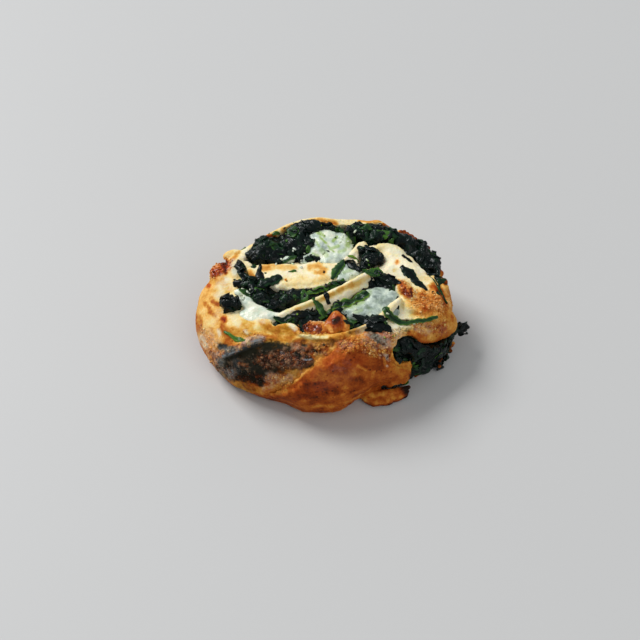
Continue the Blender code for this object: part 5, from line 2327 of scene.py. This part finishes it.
SCATTERED = (
    Bits("leaf_flecks", Slot.SPINACH, (
        (-12, 8, 7, 2), (6, 30, 4, 5), (-37, 8, 3, 5), (12, 12, 5, 6), (-2, -18, 4, 4), (28, -24, 3, 5),
        (-22, 34, 4, 4), (16, -12, 4, 4), (-24, -9, 3, 4), (22, 26, 4, 5),
    ), (0.18, 0.48), (0.1, 0.9), 0.3, 5),
    Bits("cheese_bits", Slot.CHEESE, (
        (-11, 18.6, 2.4, 9), (-3, 19, 2, 6), (-35, 0.4, 2.2, 9), (-36, -4, 1.6, 3), (12, 32, 2.6, 5),
        (12, -13, 3, 4), (28, -16, 2.6, 4), (-20, 18.6, 2.4, 3), (18, 14, 2, 2), (42, -16, 2, 2),
    ), (0.25, 0.7), (0, 0.4), 0.7, 6),
)


@dataclass(frozen=True)
class AreaLight:
    """A soft square light that faces the pastry."""

    name: str
    place: Triple
    size: float
    power: float
    colour: Colour

    def hang(self) -> None:
        """Add the light to the scene."""
        data = bpy.data.lights.new(self.name, "AREA")
        data.size = self.size
        data.energy = self.power
        data.color = self.colour
        light = bpy.data.objects.new(self.name, data)
        light.location = self.place
        light.rotation_euler = (-Vector(self.place)).to_track_quat("-Z", "Y").to_euler()
        bpy.context.scene.collection.objects.link(light)


@dataclass
class Stage:
    """The pale floor, the soft light and the camera at the photograph's angle."""

    view: View = View()
    sensor: float = 36
    nearest: float = 0.01
    floor_half: float = 3
    floor_colour: Colour = (0.55, 0.543, 0.533)
    floor_roughness: float = 0.6
    key: AreaLight = AreaLight("key", (-2.8, 2.32, 3.36), 2.16, 225, (0.98, 0.99, 1))
    fill: AreaLight = AreaLight("fill", (1.4, -1.9, 2), 1.9, 18, (1, 0.98, 0.95))
    room_colour: Colour = (0.9, 0.95, 1)
    room_strength: float = 0.4

    def build_camera(self) -> None:
        """Place the camera where the photograph was taken from."""
        data = bpy.data.cameras.new("camera")
        data.sensor_width = self.sensor
        data.lens = self.sensor * self.view.focal / self.view.frame
        data.clip_start = self.nearest
        camera = bpy.data.objects.new("camera", data)
        camera.location = to_metres(np.array(self.view.place))
        camera.rotation_euler = (math.radians(90 - self.view.pitch), 0, 0)
        bpy.context.scene.collection.objects.link(camera)
        bpy.context.scene.camera = camera

    def build_floor(self) -> None:
        """Lay a plain pale floor."""
        mesh = bpy.data.meshes.new("floor")
        half = self.floor_half
        corners = [(-half, -half, 0), (half, -half, 0), (half, half, 0), (-half, half, 0)]
        mesh.from_pydata(corners, [], [(0, 1, 2, 3)])
        floor = bpy.data.objects.new("floor", mesh)
        bpy.context.scene.collection.objects.link(floor)
        material, tree, shader = new_finish("pale_floor", self.floor_roughness)
        tree.feed(shader, {"Base Color": (*self.floor_colour, 1)})
        mesh.materials.append(material)

    def build_light(self) -> None:
        """Window light from the back left, with a weak broad fill."""
        self.key.hang()
        self.fill.hang()
        world = bpy.data.worlds.new("room")
        world.use_nodes = True
        room = {"Color": (*self.room_colour, 1), "Strength": self.room_strength}
        Tree(world.node_tree).feed(world.node_tree.nodes["Background"], room)
        bpy.context.scene.world = world
        bpy.context.scene.view_settings.view_transform = "Standard"

    def build(self) -> None:
        """Set up everything around the pastry."""
        self.build_camera()
        self.build_floor()
        self.build_light()


def main() -> None:
    """Build every piece in order."""
    logging.basicConfig(level=logging.INFO, format="%(name)s %(message)s")
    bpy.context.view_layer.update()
    Stage().build()
    pantry = Pantry()
    crust = [piece.build(pantry) for piece in (DoughRoll(), LooseEnd(), Tongue(), Knob())]
    bed, surface = SpinachBed().build(pantry)
    pools = [pool.build(pantry) for pool in CHEESE_POOLS]
    leaves = LooseLeaves().build(pantry, bed, surface)
    top = HeightMap((*crust, bed, *pools))
    LaidLeaves().build(pantry, top)
    covered = HeightMap((*crust, bed, *pools, leaves))
    for bits in SCATTERED:
        bits.build(pantry, covered)
    Crumbs().build(pantry, crust[:3])


if __name__ == "__main__":
    main()
